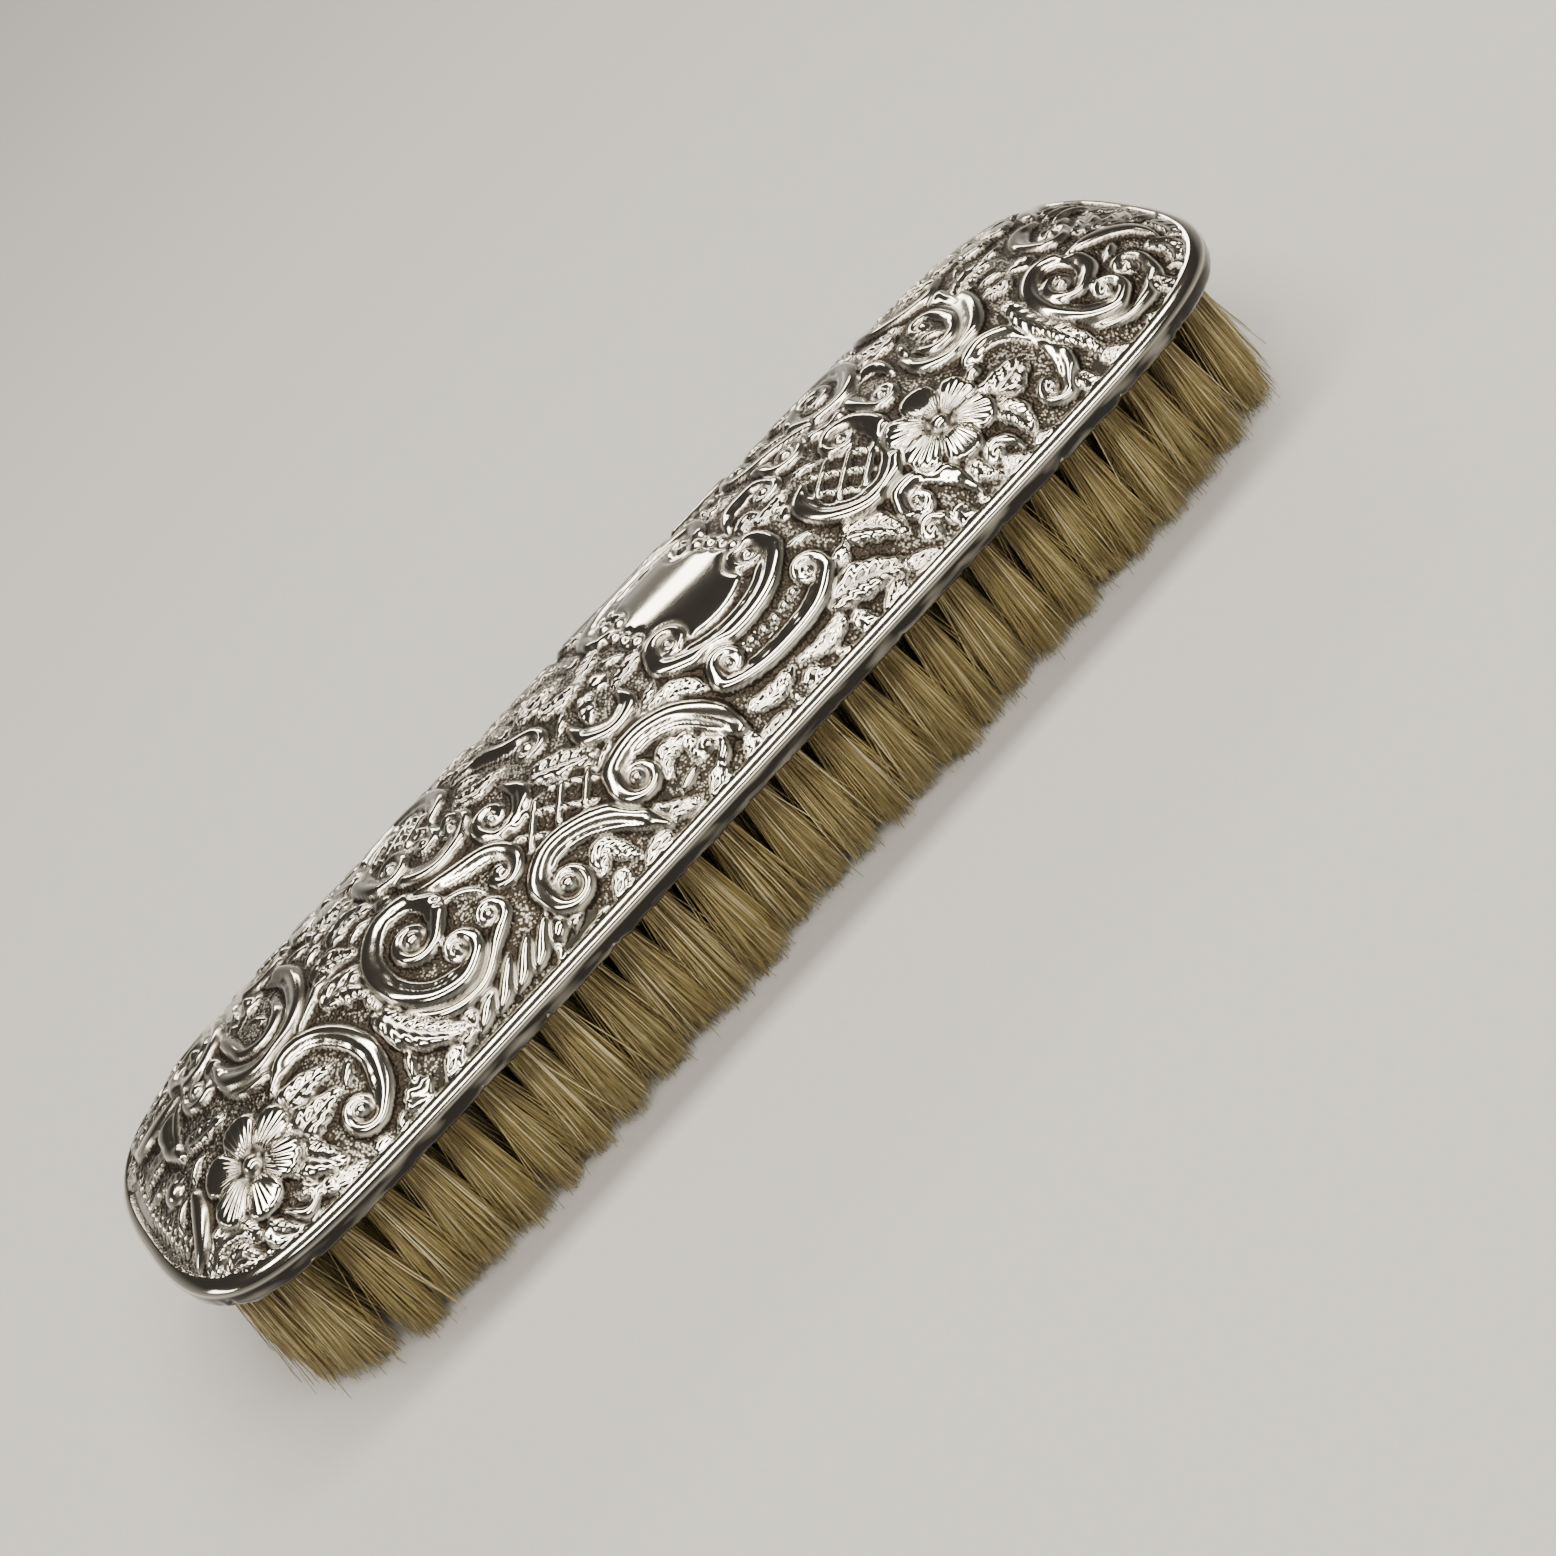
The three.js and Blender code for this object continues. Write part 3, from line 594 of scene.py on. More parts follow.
def panel_and_frame(relief):
    """The plain panel between two frames of scroll, with beads on its shoulders."""
    panel(relief, (10.2, 0), (9.6, 10.4))
    for turned, shift in ((1, 0), (-1, -20.4)):
        relief.turned = turned
        frame_path = ((1.8, -9.4), (6, -12), (11.2, -12.9), (16.6, -11.8), (20.4, -8.8))
        scroll(
            relief, [(x + shift, s) for x, s in frame_path], 2.05,
            curl_in=((4 + shift, -7.1), 2.1, CW, 1.0),
            curl_out=((18.6 + shift, -6.2), 2.4, CCW, 1.0),
        )
        for x in np.arange(4.6, 20.5, 1.9):
            lower = -15.9 + 0.014 * (x - 12) ** 2
            ball(relief, (x + shift, lower + 0.3 * math.sin(3 * x)), 0.85, 0.6)
        frame_path = ((4.4, -17.6), (8, -19), (13, -19.4), (18.4, -18.8), (22, -16.8))
        scroll(
            relief, [(x + shift, s) for x, s in frame_path], 1.6,
            curl_in=((6.4 + shift, -15.9), 1.8, CW, 0.9),
            curl_out=((21 + shift, -15), 1.9, CCW, 1.0),
        )
    relief.turned = 1
    for x, s in ((18.9, -2.6), (18.6, -0.4), (18, 1.8), (17, 4), (15.6, 6)):
        ball(relief, (x, s), 1.05, 0.85)
    for x, s in ((1.5, 2.6), (1.8, 0.4), (2.4, -1.8), (3.4, 4.4)):
        ball(relief, (x, s), 1.0, 0.85)


def blurred(grid, cells):
    """A grid smoothed along both its directions with a bell-shaped weight."""
    reach = math.ceil(3 * cells)
    weights = np.exp(-0.5 * (np.arange(-reach, reach + 1) / cells) ** 2)
    weights /= weights.sum()
    for axis in (0, 1):
        pad = [(reach, reach) if a == axis else (0, 0) for a in (0, 1)]
        padded = np.pad(grid, pad, mode="edge")
        places = np.arange(grid.shape[axis])
        grid = sum(w * np.take(padded, places + k, axis) for k, w in enumerate(weights))
    return grid


def fill_gaps(relief, shape):
    """Small leaves wherever a wide piece of ground is still bare, then buds in what is left.
    They point towards the nearer end, and lean a little from one to the next."""
    rng = np.random.default_rng(11)
    kinds = (("leaf", 5, 2.9, 4.6, 0.86), ("bud", 3, 2.0, 3.2, 0.9))
    for kind, cells, reach, apart, bare in kinds:
        openness = blurred(relief.ground.reshape(shape), cells).ravel()
        places = []
        for k in np.argsort(-openness):
            x, s = relief.x[k], relief.s[k]
            if openness[k] < bare:
                break
            near = any(math.hypot(x - a, s - b) < apart for a, b in places)
            if near or abs(x) > HALF_LENGTH - 3.5:
                continue
            places.append((x, s))
            angle = rng.normal(0, 0.5) + (0 if x > 0 else math.pi) + 0.5 * np.sign(s * x)
            ahead = np.array([math.cos(angle), math.sin(angle)]) * reach
            bend = np.array([-ahead[1], ahead[0]]) * rng.uniform(-0.3, 0.3)
            run = [(x, s) - ahead, (x, s) + bend, (x, s) + ahead]
            if kind == "leaf":
                leaf(relief, run, 1.6, 0.62, 1.5)
            else:
                band(relief, run, 0.825, 0.6)


def work_silver(x, s):
    """Lays all the ornament on a grid: the spine, then the long sides, of which the far one
    is the near one turned half round, then the panel and what fills the gaps."""
    relief = Relief(x, s)
    crown(relief)
    for turned in (-1, 1):
        relief.turned = turned
        border_band(relief)
    panel_and_frame(relief)
    fill_gaps(relief, x.shape)
    return relief


# ---- Silver back: the worked sheet ----------------------------------------------------------
# The outer face of the sheet is a fine grid that carries the chased relief. The bevel, side
# and lip are drawn down from its edge in one piece with it, and a plain inner face closes it.

GROUND_SINK = 0.4
EDGE_SEAM = 0.35
SOFTENED_CELLS = 0.75
PUNCH_HEIGHT = 0.04
BEATEN_CELLS, BEATEN_HEIGHT = 9, 0.05
CAVITY_CELLS, CAVITY_GAIN = 3, 2.4
FLANK_FROM, FLANK_RANGE = 0.35, 0.5
SIDE_WAVE, SIDE_NICK = 0.2, 0.55
WAVES_ROUND, NICKS_ROUND = range(23, 117, 7), (61, 97, 131, 173)
# Share of the painted dark reflection for each border ring, from the bevel down to the lip.
RING_PAINTED_REFLECTION = (0, 0, 0.25, 1, 1, 1, 0.8, 0.8, 0.8, 0.8)
SILVER_BRIGHT = (0.95, 0.9, 0.785, 1)
SILVER_WARM = (0.66, 0.575, 0.43, 1)
# Brown-black of real tarnish, also used for the painted shade on steep flanks.
TARNISH_AND_PAINTED_SHADE = (0.035, 0.028, 0.022, 1)
# Near-black for the upright side: a painted dark reflection.
SIDE_PAINTED_REFLECTION = (0.03, 0.028, 0.026, 1)


def dome_points(x, y, lift):
    """Points of the dome at x, y, moved out along the dome's own normal by lift."""
    step = 0.05
    slope_x = (dome_rise(x + step, y) - dome_rise(x - step, y)) / (2 * step)
    slope_y = (dome_rise(x, y + step) - dome_rise(x, y - step)) / (2 * step)
    size = np.sqrt(slope_x**2 + slope_y**2 + 1)
    z = DOME_Z + dome_rise(x, y)
    return np.stack([x - lift * slope_x / size, y - lift * slope_y / size, z + lift / size], -1)


def edge_distance(x, y):
    """Rough distance in from the dome's edge: what is left of the oval's reach, over the
    size of its slope."""
    a, b = HALF_LENGTH - BEVEL_WIDTH, HALF_WIDTH - BEVEL_WIDTH
    px, py = np.abs(x) / a, np.abs(y) / b
    slope = np.hypot(POWER_X * px ** (POWER_X - 1) / a, POWER_Y * py ** (POWER_Y - 1) / b)
    return np.maximum(1 - px**POWER_X - py**POWER_Y, 0) / np.maximum(slope, 1e-6)


def edge_ring(grid):
    """The values round the edge of a grid, in the same order as the edge's normals."""
    return np.r_[grid[:-1, 0], grid[-1, :-1], grid[::-1, -1][:-1], grid[0, ::-1][:-1]]


def grid_faces(columns, rows, first=0, flipped=False):
    """Four-sided faces over a grid of points numbered row by row from first."""
    i, j = np.meshgrid(np.arange(columns - 1), np.arange(rows - 1), indexing="ij")
    a = first + (i * rows + j).ravel()
    faces = np.c_[a, a + rows, a + rows + 1, a + 1]
    return faces[:, ::-1] if flipped else faces


def ring_faces(outer, inner):
    """Faces between two rings of point numbers with as many points in each."""
    return np.c_[outer, inner, np.roll(inner, -1), np.roll(outer, -1)]


def halving_faces(outer, inner):
    """Three-sided faces from a ring of points to one with half as many."""
    even, odd, last = outer[::2], outer[1::2], np.roll(outer[::2], -1)
    following = np.roll(inner, -1)
    return np.r_[
        np.c_[even, inner, odd], np.c_[odd, inner, following], np.c_[odd, following, last]
    ]


def new_mesh(name, points, face_sets, smooth=True):
    """A mesh object from points in millimetres and arrays of faces of any one size each."""
    mesh = bpy.data.meshes.new(name)
    mesh.vertices.add(len(points))
    mesh.vertices.foreach_set("co", (np.asarray(points) * MM).astype(np.float32).ravel())
    sizes = np.concatenate([np.full(len(f), f.shape[1]) for f in face_sets])
    corners = np.concatenate([f.ravel() for f in face_sets])
    mesh.loops.add(len(corners))
    mesh.loops.foreach_set("vertex_index", corners.astype(np.int32))
    mesh.polygons.add(len(sizes))
    mesh.polygons.foreach_set("loop_start", np.r_[0, np.cumsum(sizes)[:-1]].astype(np.int32))
    mesh.polygons.foreach_set("use_smooth", np.full(len(sizes), smooth))
    mesh.update(calc_edges=True)
    mesh.validate()
    piece = bpy.data.objects.new(name, mesh)
    bpy.context.scene.collection.objects.link(piece)
    return piece


def set_attribute(piece, name, values):
    """Stores one number for each point of a piece's mesh, for its material to read."""
    layer = piece.data.attributes.new(name, "FLOAT", "POINT")
    layer.data.foreach_set("value", np.asarray(values, np.float32))


def worked_surface(x, y, rng):
    """The outer face's points, and what its material reads of them: how matted, hollow and
    steep each is, and its chased vein. The relief is laid on a sunk ground, dented by the
    punch and by long wear, and fades out at the edge, where it meets the border."""
    relief = work_silver(x, girth(x, y))
    height = blurred(relief.height.reshape(x.shape), SOFTENED_CELLS)
    ground = np.clip(relief.ground, 0, 1).reshape(x.shape)
    punched = rng.uniform(-PUNCH_HEIGHT, PUNCH_HEIGHT, x.shape) * ground
    beaten = blurred(rng.normal(0, 1, x.shape), BEATEN_CELLS)
    beaten *= BEATEN_HEIGHT / beaten.std()
    inwards = np.clip(edge_distance(x, y) / EDGE_SEAM, 0, 1)
    inwards *= inwards * (3 - 2 * inwards)
    lift = (height + punched + beaten - GROUND_SINK) * inwards
    outer = dome_points(x, y, lift)
    steps = [np.linalg.norm(np.gradient(outer, axis=a), axis=-1) for a in (0, 1)]
    fall = np.hypot(*(np.gradient(lift, axis=a) / steps[a] for a in (0, 1)))
    hollow = (blurred(height, CAVITY_CELLS) - height) * CAVITY_GAIN
    return outer, {
        "matting": ground * inwards,
        "cavity": np.clip(hollow, 0, 1) * inwards,
        # Steepness of the relief, read by the material only as painted shade on steep flanks.
        "flank_painted_shade": np.clip((fall - FLANK_FROM) / FLANK_RANGE, 0, 1),
        "vein": relief.vein.reshape(x.shape),
        "vein_depth": relief.vein_depth.reshape(x.shape) * inwards,
    }


def crimped_edge(columns, rng):
    """How the foot of the side strays along the border's columns: long waves in its height,
    and nicks inwards, where four shorter waves add up."""
    lengths = np.linalg.norm(np.roll(columns, -1, 0) - columns, axis=1)
    turn, at = 2 * np.pi / lengths.sum(), np.cumsum(lengths) - lengths
    waves = sum(
        np.cos(k * turn * at + rng.uniform(0, 6.28)) * rng.uniform(0.3, 1) for k in WAVES_ROUND
    )
    waves *= SIDE_WAVE / np.abs(waves).max()
    nicks = np.abs(sum(np.cos(k * turn * at + rng.uniform(0, 6.28)) for k in NICKS_ROUND))
    return waves, np.maximum(nicks / len(NICKS_ROUND) - 0.45, 0) * 2 * SIDE_NICK


def border_profile(waves, nicks):
    """The rings below the dome's edge, as inset and height: the bevel, the upright side with
    its wavy crimped foot, the lip turned in under the stock, and back up inside."""
    low = RIM_Z + waves
    return [
        (BEVEL_WIDTH - 0.22, DOME_Z + 0.03),
        (0.42, DOME_Z - 0.66),
        (0.12, DOME_Z - 0.96),
        (0.02, DOME_Z - 1.5),
        (0.1 + 0.4 * nicks, RIM_Z + 1.3),
        (0.14 + nicks, low + 0.62),
        (0.34 + nicks, low + 0.16),
        (LIP_WIDTH / 2, RIM_Z + 0.02),
        (LIP_WIDTH, RIM_Z + 0.08),
        (LIP_WIDTH, RIM_Z + SHEET_THICK),
    ]


def silver_shell():
    """The closed sheet: the worked outer face, the border's rings with half as many points,
    and a plain inner face with an eighth as many cells each way."""
    rng = np.random.default_rng(7)
    x, y, normals = oval_grid(CELLS_ALONG, CELLS_ACROSS, BEVEL_WIDTH)
    outer, kept = worked_surface(x, y, rng)
    columns, column_normals = np.c_[edge_ring(x), edge_ring(y)][::2], normals[::2]
    rings = []
    for inset, z in border_profile(*crimped_edge(columns, rng)):
        shift = np.broadcast_to(BEVEL_WIDTH - inset, len(columns))[:, None]
        rings.append(np.c_[columns + column_normals * shift, np.broadcast_to(z, len(columns))])
    inner_x, inner_y, _ = oval_grid(CELLS_ALONG // 8, CELLS_ACROSS // 8, BEVEL_WIDTH)
    inner = dome_points(inner_x, inner_y, -SHEET_THICK)
    wall = columns[::2] + column_normals[::2] * (BEVEL_WIDTH - SHEET_THICK)
    wall_low = np.c_[wall, np.full(len(wall), RIM_Z + SHEET_THICK)]
    wall_high = np.c_[wall, np.full(len(wall), DOME_Z - BEVEL_RISE - SHEET_THICK / 2)][::2]
    blocks = [outer.reshape(-1, 3), *rings, wall_low, wall_high, inner.reshape(-1, 3)]
    firsts = np.r_[0, np.cumsum([len(b) for b in blocks])]
    ids = [np.arange(len(b)) + first for b, first in zip(blocks, firsts)]
    outer_edge = edge_ring(ids[0].reshape(x.shape))
    inner_edge = edge_ring(ids[-1].reshape(inner_x.shape))
    faces = [grid_faces(*x.shape), halving_faces(outer_edge, ids[1])]
    faces += [ring_faces(a, b) for a, b in zip(ids[1:], ids[2 : len(rings) + 1])]
    faces += [halving_faces(ids[len(rings)], ids[-3]), halving_faces(ids[-3], ids[-2])]
    faces += [ring_faces(ids[-2], inner_edge), grid_faces(*inner_x.shape, firsts[-2], flipped=True)]
    shell = new_mesh("silver_back_shell", np.concatenate(blocks), faces)
    # How much of the side's painted dark reflection each border ring takes, kept at the points for
    # the material.
    upright = np.zeros(firsts[-1])
    upright[firsts[1] : firsts[len(rings) + 1]] = np.repeat(RING_PAINTED_REFLECTION, len(columns))
    set_attribute(shell, "upright", upright)
    for name, values in kept.items():
        set_attribute(shell, name, np.r_[values.ravel(), np.zeros(firsts[-1] - x.size)])
    return shell


class Amount:
    """A number that varies over a surface. Sums and products of it add Math nodes."""

    def __init__(self, finish, socket):
        self.finish, self.socket = finish, socket

    def made(self, operation, *values):
        """The result of a Math node on some numbers."""
        return self.finish.amount("ShaderNodeMath", {"operation": operation}, *values)

    def __add__(self, other):
        return self.made("ADD", self, other)

    def __sub__(self, other):
        return self.made("SUBTRACT", self, other)

    def __rsub__(self, other):
        return self.made("SUBTRACT", other, self)

    def __mul__(self, other):
        return self.made("MULTIPLY", self, other)

    __radd__, __rmul__ = __add__, __mul__

    def clipped(self, low, high):
        """Falls to 0 at low and rises to 1 at high."""
        ranged = {"clamp": True}
        return self.finish.amount("ShaderNodeMapRange", ranged, self, low, high, 0.0, 1.0)


class Finish:
    """A procedural material: one Principled shader, and the nodes that vary it."""

    def __init__(self, name, **fixed):
        self.material = bpy.data.materials.new(name)
        self.material.use_nodes = True
        self.nodes = self.material.node_tree.nodes
        self.links = self.material.node_tree.links
        self.shader = self.nodes["Principled BSDF"]
        for socket, value in fixed.items():
            self.shader.inputs[socket.replace("_", " ")].default_value = value

    def node(self, kind, settings, *values, **named):
        """Adds a node, sets it up, then fills its sockets by order or by name."""
        made = self.nodes.new(kind)
        for key, value in settings.items():
            setattr(made, key, value)
        for i, value in enumerate(values):
            self.fill(made.inputs[i], value)
        for socket, value in named.items():
            self.fill(made.inputs[socket.replace("_", " ")], value)
        return made

    def fill(self, socket, value):
        """Links a socket to what varies, or sets it to what doesn't."""
        if isinstance(value, Amount):
            value = value.socket
        if isinstance(value, bpy.types.NodeSocket):
            self.links.new(value, socket)
        else:
            socket.default_value = value

    def amount(self, kind, settings, *values, output=0, **named):
        """A new node's output, as a number to reckon with."""
        return Amount(self, self.node(kind, settings, *values, **named).outputs[output])

    def stored(self, name):
        """A number kept at the mesh's points."""
        return self.amount("ShaderNodeAttribute", {"attribute_name": name}, output="Fac")

    def place(self):
        """Object coordinates, in metres."""
        return self.node("ShaderNodeTexCoord", {}).outputs["Object"]

    def stretched(self, vector, scale):
        """A place multiplied along each axis."""
        product = {"operation": "MULTIPLY"}
        return self.node("ShaderNodeVectorMath", product, vector, scale).outputs[0]

    def noise(self, vector, scale, detail=2.0, rough=0.5):
        """Cloudy noise between 0 and 1, with scale clouds to the metre."""
        sockets = {"Vector": vector, "Scale": scale, "Detail": detail, "Roughness": rough}
        return self.amount("ShaderNodeTexNoise", {}, **sockets)

    def colours(self, factor, low, high):
        """A colour between two, by a factor."""
        mixed = self.node("ShaderNodeMix", {"data_type": "RGBA"})
        self.fill(mixed.inputs["Factor"], factor)
        self.fill(mixed.inputs[6], low)
        self.fill(mixed.inputs[7], high)
        return mixed.outputs[2]

    def bump(self, height, distance, strength=1.0, **normal):
        """Small relief: height in units of distance, in metres, over another one's Normal."""
        sockets = {"Strength": strength, "Distance": distance, "Height": height}
        return self.node("ShaderNodeBump", {}, **sockets, **normal).outputs[0]

    def finish(self, **varied):
        """Fills the shader's sockets with what varies, and gives the material."""
        for socket, value in varied.items():
            self.fill(self.shader.inputs[socket.replace("_", " ")], value)
        return self.material


def silver_finish():
    """Polished silver: bright and slightly warm, oxidised brown-black in the recesses and
    between the punched grains, with fine wear scratches on what stands proud. Steep flanks
    are darkened as painted shade, and the upright side is painted near-black as a painted
    reflection, with painted glints here and there."""
    silver = Finish("silver_polished", Metallic=1.0)
    place = silver.place()
    matting, cavity = silver.stored("matting"), silver.stored("cavity")
    punch = {"Vector": place, "Scale": 2500.0, "Randomness": 1.0}
    grains = silver.amount("ShaderNodeTexVoronoi", {"feature": "F1"}, **punch)
    coarse = silver.noise(place, 900.0, 3.0, 0.6)
    pits = (grains * 1.3 - 0.4).clipped(0.0, 0.6) * matting
    # A chased vein is one turn of a cosine: its line is dark and sunk.
    turns = silver.stored("vein") * (2 * math.pi)
    wave = silver.amount("ShaderNodeMath", {"operation": "COSINE"}, turns)
    chased = (wave * -0.5 + 0.5) * silver.stored("vein_depth")
    # Tarnish stays where a cloth can't reach. Steep flanks are darkened with the same colour as
    # painted shade.
    cloud = silver.noise(place, 60.0, 3.0, 0.55)
    tarnish_and_flank_shade = cavity * 1.2 + silver.stored("flank_painted_shade") * 0.55 + pits * 0.75 + matting * 0.36
    cut_lines = chased.clipped(0.5, 0.95) * 0.42
    dark = (tarnish_and_flank_shade + cut_lines + cloud * 0.3 - 0.2).clipped(0.0, 1.05)
    # The upright side is painted near-black, a painted reflection of the dark of the bristles, with
    # a painted paler glint here and there.
    painted_glint_place = silver.stretched(place, (150.0, 150.0, 700.0))
    painted_glint = silver.noise(painted_glint_place, 1.0, 1.0).clipped(0.5, 0.8)
    # Weight of the side's painted dark reflection, lessened where a painted glint falls.
    side = silver.stored("upright") * (1 - painted_glint * 0.3)
    warm = silver.colours(cloud.clipped(0.35, 0.75), SILVER_BRIGHT, SILVER_WARM)
    bright = silver.colours(0.35, SILVER_BRIGHT, warm)
    colour = silver.colours(side, silver.colours(dark, bright, TARNISH_AND_PAINTED_SHADE), SIDE_PAINTED_REFLECTION)
    # Fine scratches run mostly along the brush, and some across it.
    scratches = silver.noise(silver.stretched(place, (700.0, 5200.0, 700.0)), 1.0, 2.0, 0.6)
    crossing = silver.noise(silver.stretched(place, (4600.0, 600.0, 900.0)), 1.0, 2.0, 0.6)
    rough = dark * 0.32 + (scratches - 0.5) * 0.08 + 0.07 + cloud * 0.05
    fine = silver.bump(scratches + crossing, 0.000004, 0.5)
    lines = silver.bump(1 - chased, 0.00011, Normal=fine)
    stipple = silver.bump((coarse * 0.6 - grains) * matting, 0.00016, 0.9, Normal=lines)
    return silver.finish(Base_Color=colour, Roughness=rough, Normal=stipple)


shell = silver_shell()
shell.data.materials.append(silver_finish())
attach(shell, "root")
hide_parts("silver_back")

# ---- Pitch filling -------------------------------------------------------------------------
# Hard brown-black pitch, poured into the dome hot. It backs the thin sheet and beds the
# wires. It is closed in by the stock and doesn't show.


def refinish(name, material):
    """Gives a node of the CAD one material in place of its own."""
    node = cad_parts[name]
    node.data.materials.clear()
    node.data.materials.append(material)


PITCH_BLACK, PITCH_BROWN = (0.012, 0.008, 0.006, 1), (0.05, 0.032, 0.02, 1)
pitch = Finish("pitch_poured", IOR=1.5)
lumps = pitch.noise(pitch.place(), 180.0, 4.0, 0.6)
flow = pitch.noise(pitch.stretched(pitch.place(), (30.0, 90.0, 90.0)), 1.0, 3.0)
pitch_material = pitch.finish(
    Base_Color=pitch.colours(flow, PITCH_BLACK, PITCH_BROWN),
    Roughness=lumps * 0.35 + 0.35,
    Normal=pitch.bump(lumps, 0.0004),
)
refinish("pitch_filling", pitch_material)

# ---- Bristle stock -------------------------------------------------------------------------
# A board of close-grained wood, planed flat below, drilled through for every tuft, and sealed
# with thin varnish. The silver lip is turned in under its stepped edge.

WOOD_DARK, WOOD_LIGHT = (0.23, 0.115, 0.045, 1), (0.44, 0.26, 0.115, 1)
WOOD_PORE = (0.09, 0.04, 0.018, 1)
wood = Finish("stock_wood", IOR=1.45, Coat_Roughness=0.3)
place = wood.place()
bent = wood.noise(place, 25.0)
along_grain = wood.noise(wood.stretched(place, (22.0, 420.0, 420.0)), 1.0, 5.0, 0.62)
pores = wood.noise(wood.stretched(place, (160.0, 2600.0, 2600.0)), 1.0).clipped(0.55, 0.7)
tone = (along_grain * 0.8 + bent * 0.35).clipped(0.32, 0.78)
stock_material = wood.finish(
    Base_Color=wood.colours(pores * 0.6, wood.colours(tone, WOOD_DARK, WOOD_LIGHT), WOOD_PORE),
    Roughness=along_grain * 0.2 + 0.36,
    Coat_Weight=(1 - pores) * 0.35,
    Normal=wood.bump(along_grain - pores * 0.5, 0.00006),
)
refinish("bristle_stock", stock_material)

# ---- Drawing wires ------------------------------------------------------------------------
# Brass wire laid along the back of each row. It is looped down each hole, round the middle
# of a bundle of bristle, and pulled tight, so that the bundle folds and is held.

BRASS_BRIGHT, BRASS_DULL = (0.72, 0.5, 0.2, 1), (0.36, 0.22, 0.1, 1)
brass = Finish("wire_brass", Metallic=1.0)
drawn = brass.noise(brass.stretched(brass.place(), (900.0, 900.0, 5200.0)), 1.0)
toned = brass.noise(brass.place(), 240.0, 3.0, 0.6)
wire_material = brass.finish(
    Base_Color=brass.colours(toned.clipped(0.35, 0.7), BRASS_BRIGHT, BRASS_DULL),
    Roughness=drawn * 0.2 + 0.22,
    Normal=brass.bump(drawn, 0.00001),
)
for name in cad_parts:
    if name.startswith("drawing_wire"):
        refinish(name, wire_material)

# ---- Bristles ------------------------------------------------------------------------------
# Bleached hog bristle, straw-coloured, folded double into each hole. A tuft is tight at its
# root, spreads and splits into pointed locks, and is trimmed by hand, so its ends are ragged.

EDGE_TO_OUTER_TUFT, ROWS_PER_SIDE = 5.6, 4
TUFT_PITCH, TIP_HALF_ALONG = 5.75, 3.375
END_ARC_START = 0.86
ROW_PITCH = (HALF_WIDTH - EDGE_TO_OUTER_TUFT) / (ROWS_PER_SIDE - 0.5)
END_MARGIN = TIP_HALF_ALONG + 0.25
ROOT_RADIUS, ROOT_Z = 1.7, RIM_Z + 2.1
STRAND_SIDES, STRAND_RINGS = 3, 4
STRANDS_OUTER, STRANDS_INNER = 340, 230
LOCKS, LOCK_PULL, OWN_PULL = 11, 0.64, 0.5
TIP_SPREAD, TIP_LIMIT = np.array([3.6, 2.7]), 1.4
STRAY_SHARE, STRAY_REACH = 0.12, 0.6
LOCK_RAGGED, TRIM_LOWEST, TRIM_RAGGED, TRIM_HIGHEST = 0.75, 0.6, 0.85, 6
LEAN_OUT, LEAN_POWER, LEAN_VARIES = [2.4, 2.0], 1.5, 0.28
BOW = 0.38
THINNEST, THICKEST, TIP_TAPER = 0.06, 0.09, 0.4
HORN_DARK, HORN_STRAW = (0.13, 0.09, 0.028, 1), (0.66, 0.52, 0.22, 1)
HORN_PALE = (0.97, 0.86, 0.54, 1)


def row_tufts(path):
    """Tuft places and row directions at even steps along a path, held back from its ends."""
    length = np.linalg.norm(np.diff(path, axis=0), axis=1).sum()
    usable = length - 2 * END_MARGIN
    count = max(1, math.ceil(usable / TUFT_PITCH)) + 1
    at = (END_MARGIN + usable * np.linspace(0, 1, count)) / length
    ahead, behind = even_steps(path, at + 0.002), even_steps(path, at - 0.002)
    return even_steps(path, at), np.arctan2(*(ahead - behind).T[::-1])


def ring_paths(inset):
    """The near side, far side, right end and left end of a row that follows the outline."""
    points, normals, _ = quarter_outline(inset)
    whole = points + inset * normals
    split = int(np.argmax(whole[:, 0] > END_ARC_START * HALF_LENGTH))
    side, end = points[: split + 1], points[split:]
    far = np.r_[(side * [-1, 1])[::-1], side[1:]]
    right = np.r_[end * [1, -1], end[::-1][1:]]
    near, left = far * [1, -1], right * [-1, 1]
    return {"near_side": near, "far_side": far, "right_end": right, "left_end": left}


def on_circle(radius, angle):
    """Flat places at a radius and an angle from the middle."""
    return np.stack([radius * np.cos(angle), radius * np.sin(angle)], -1)


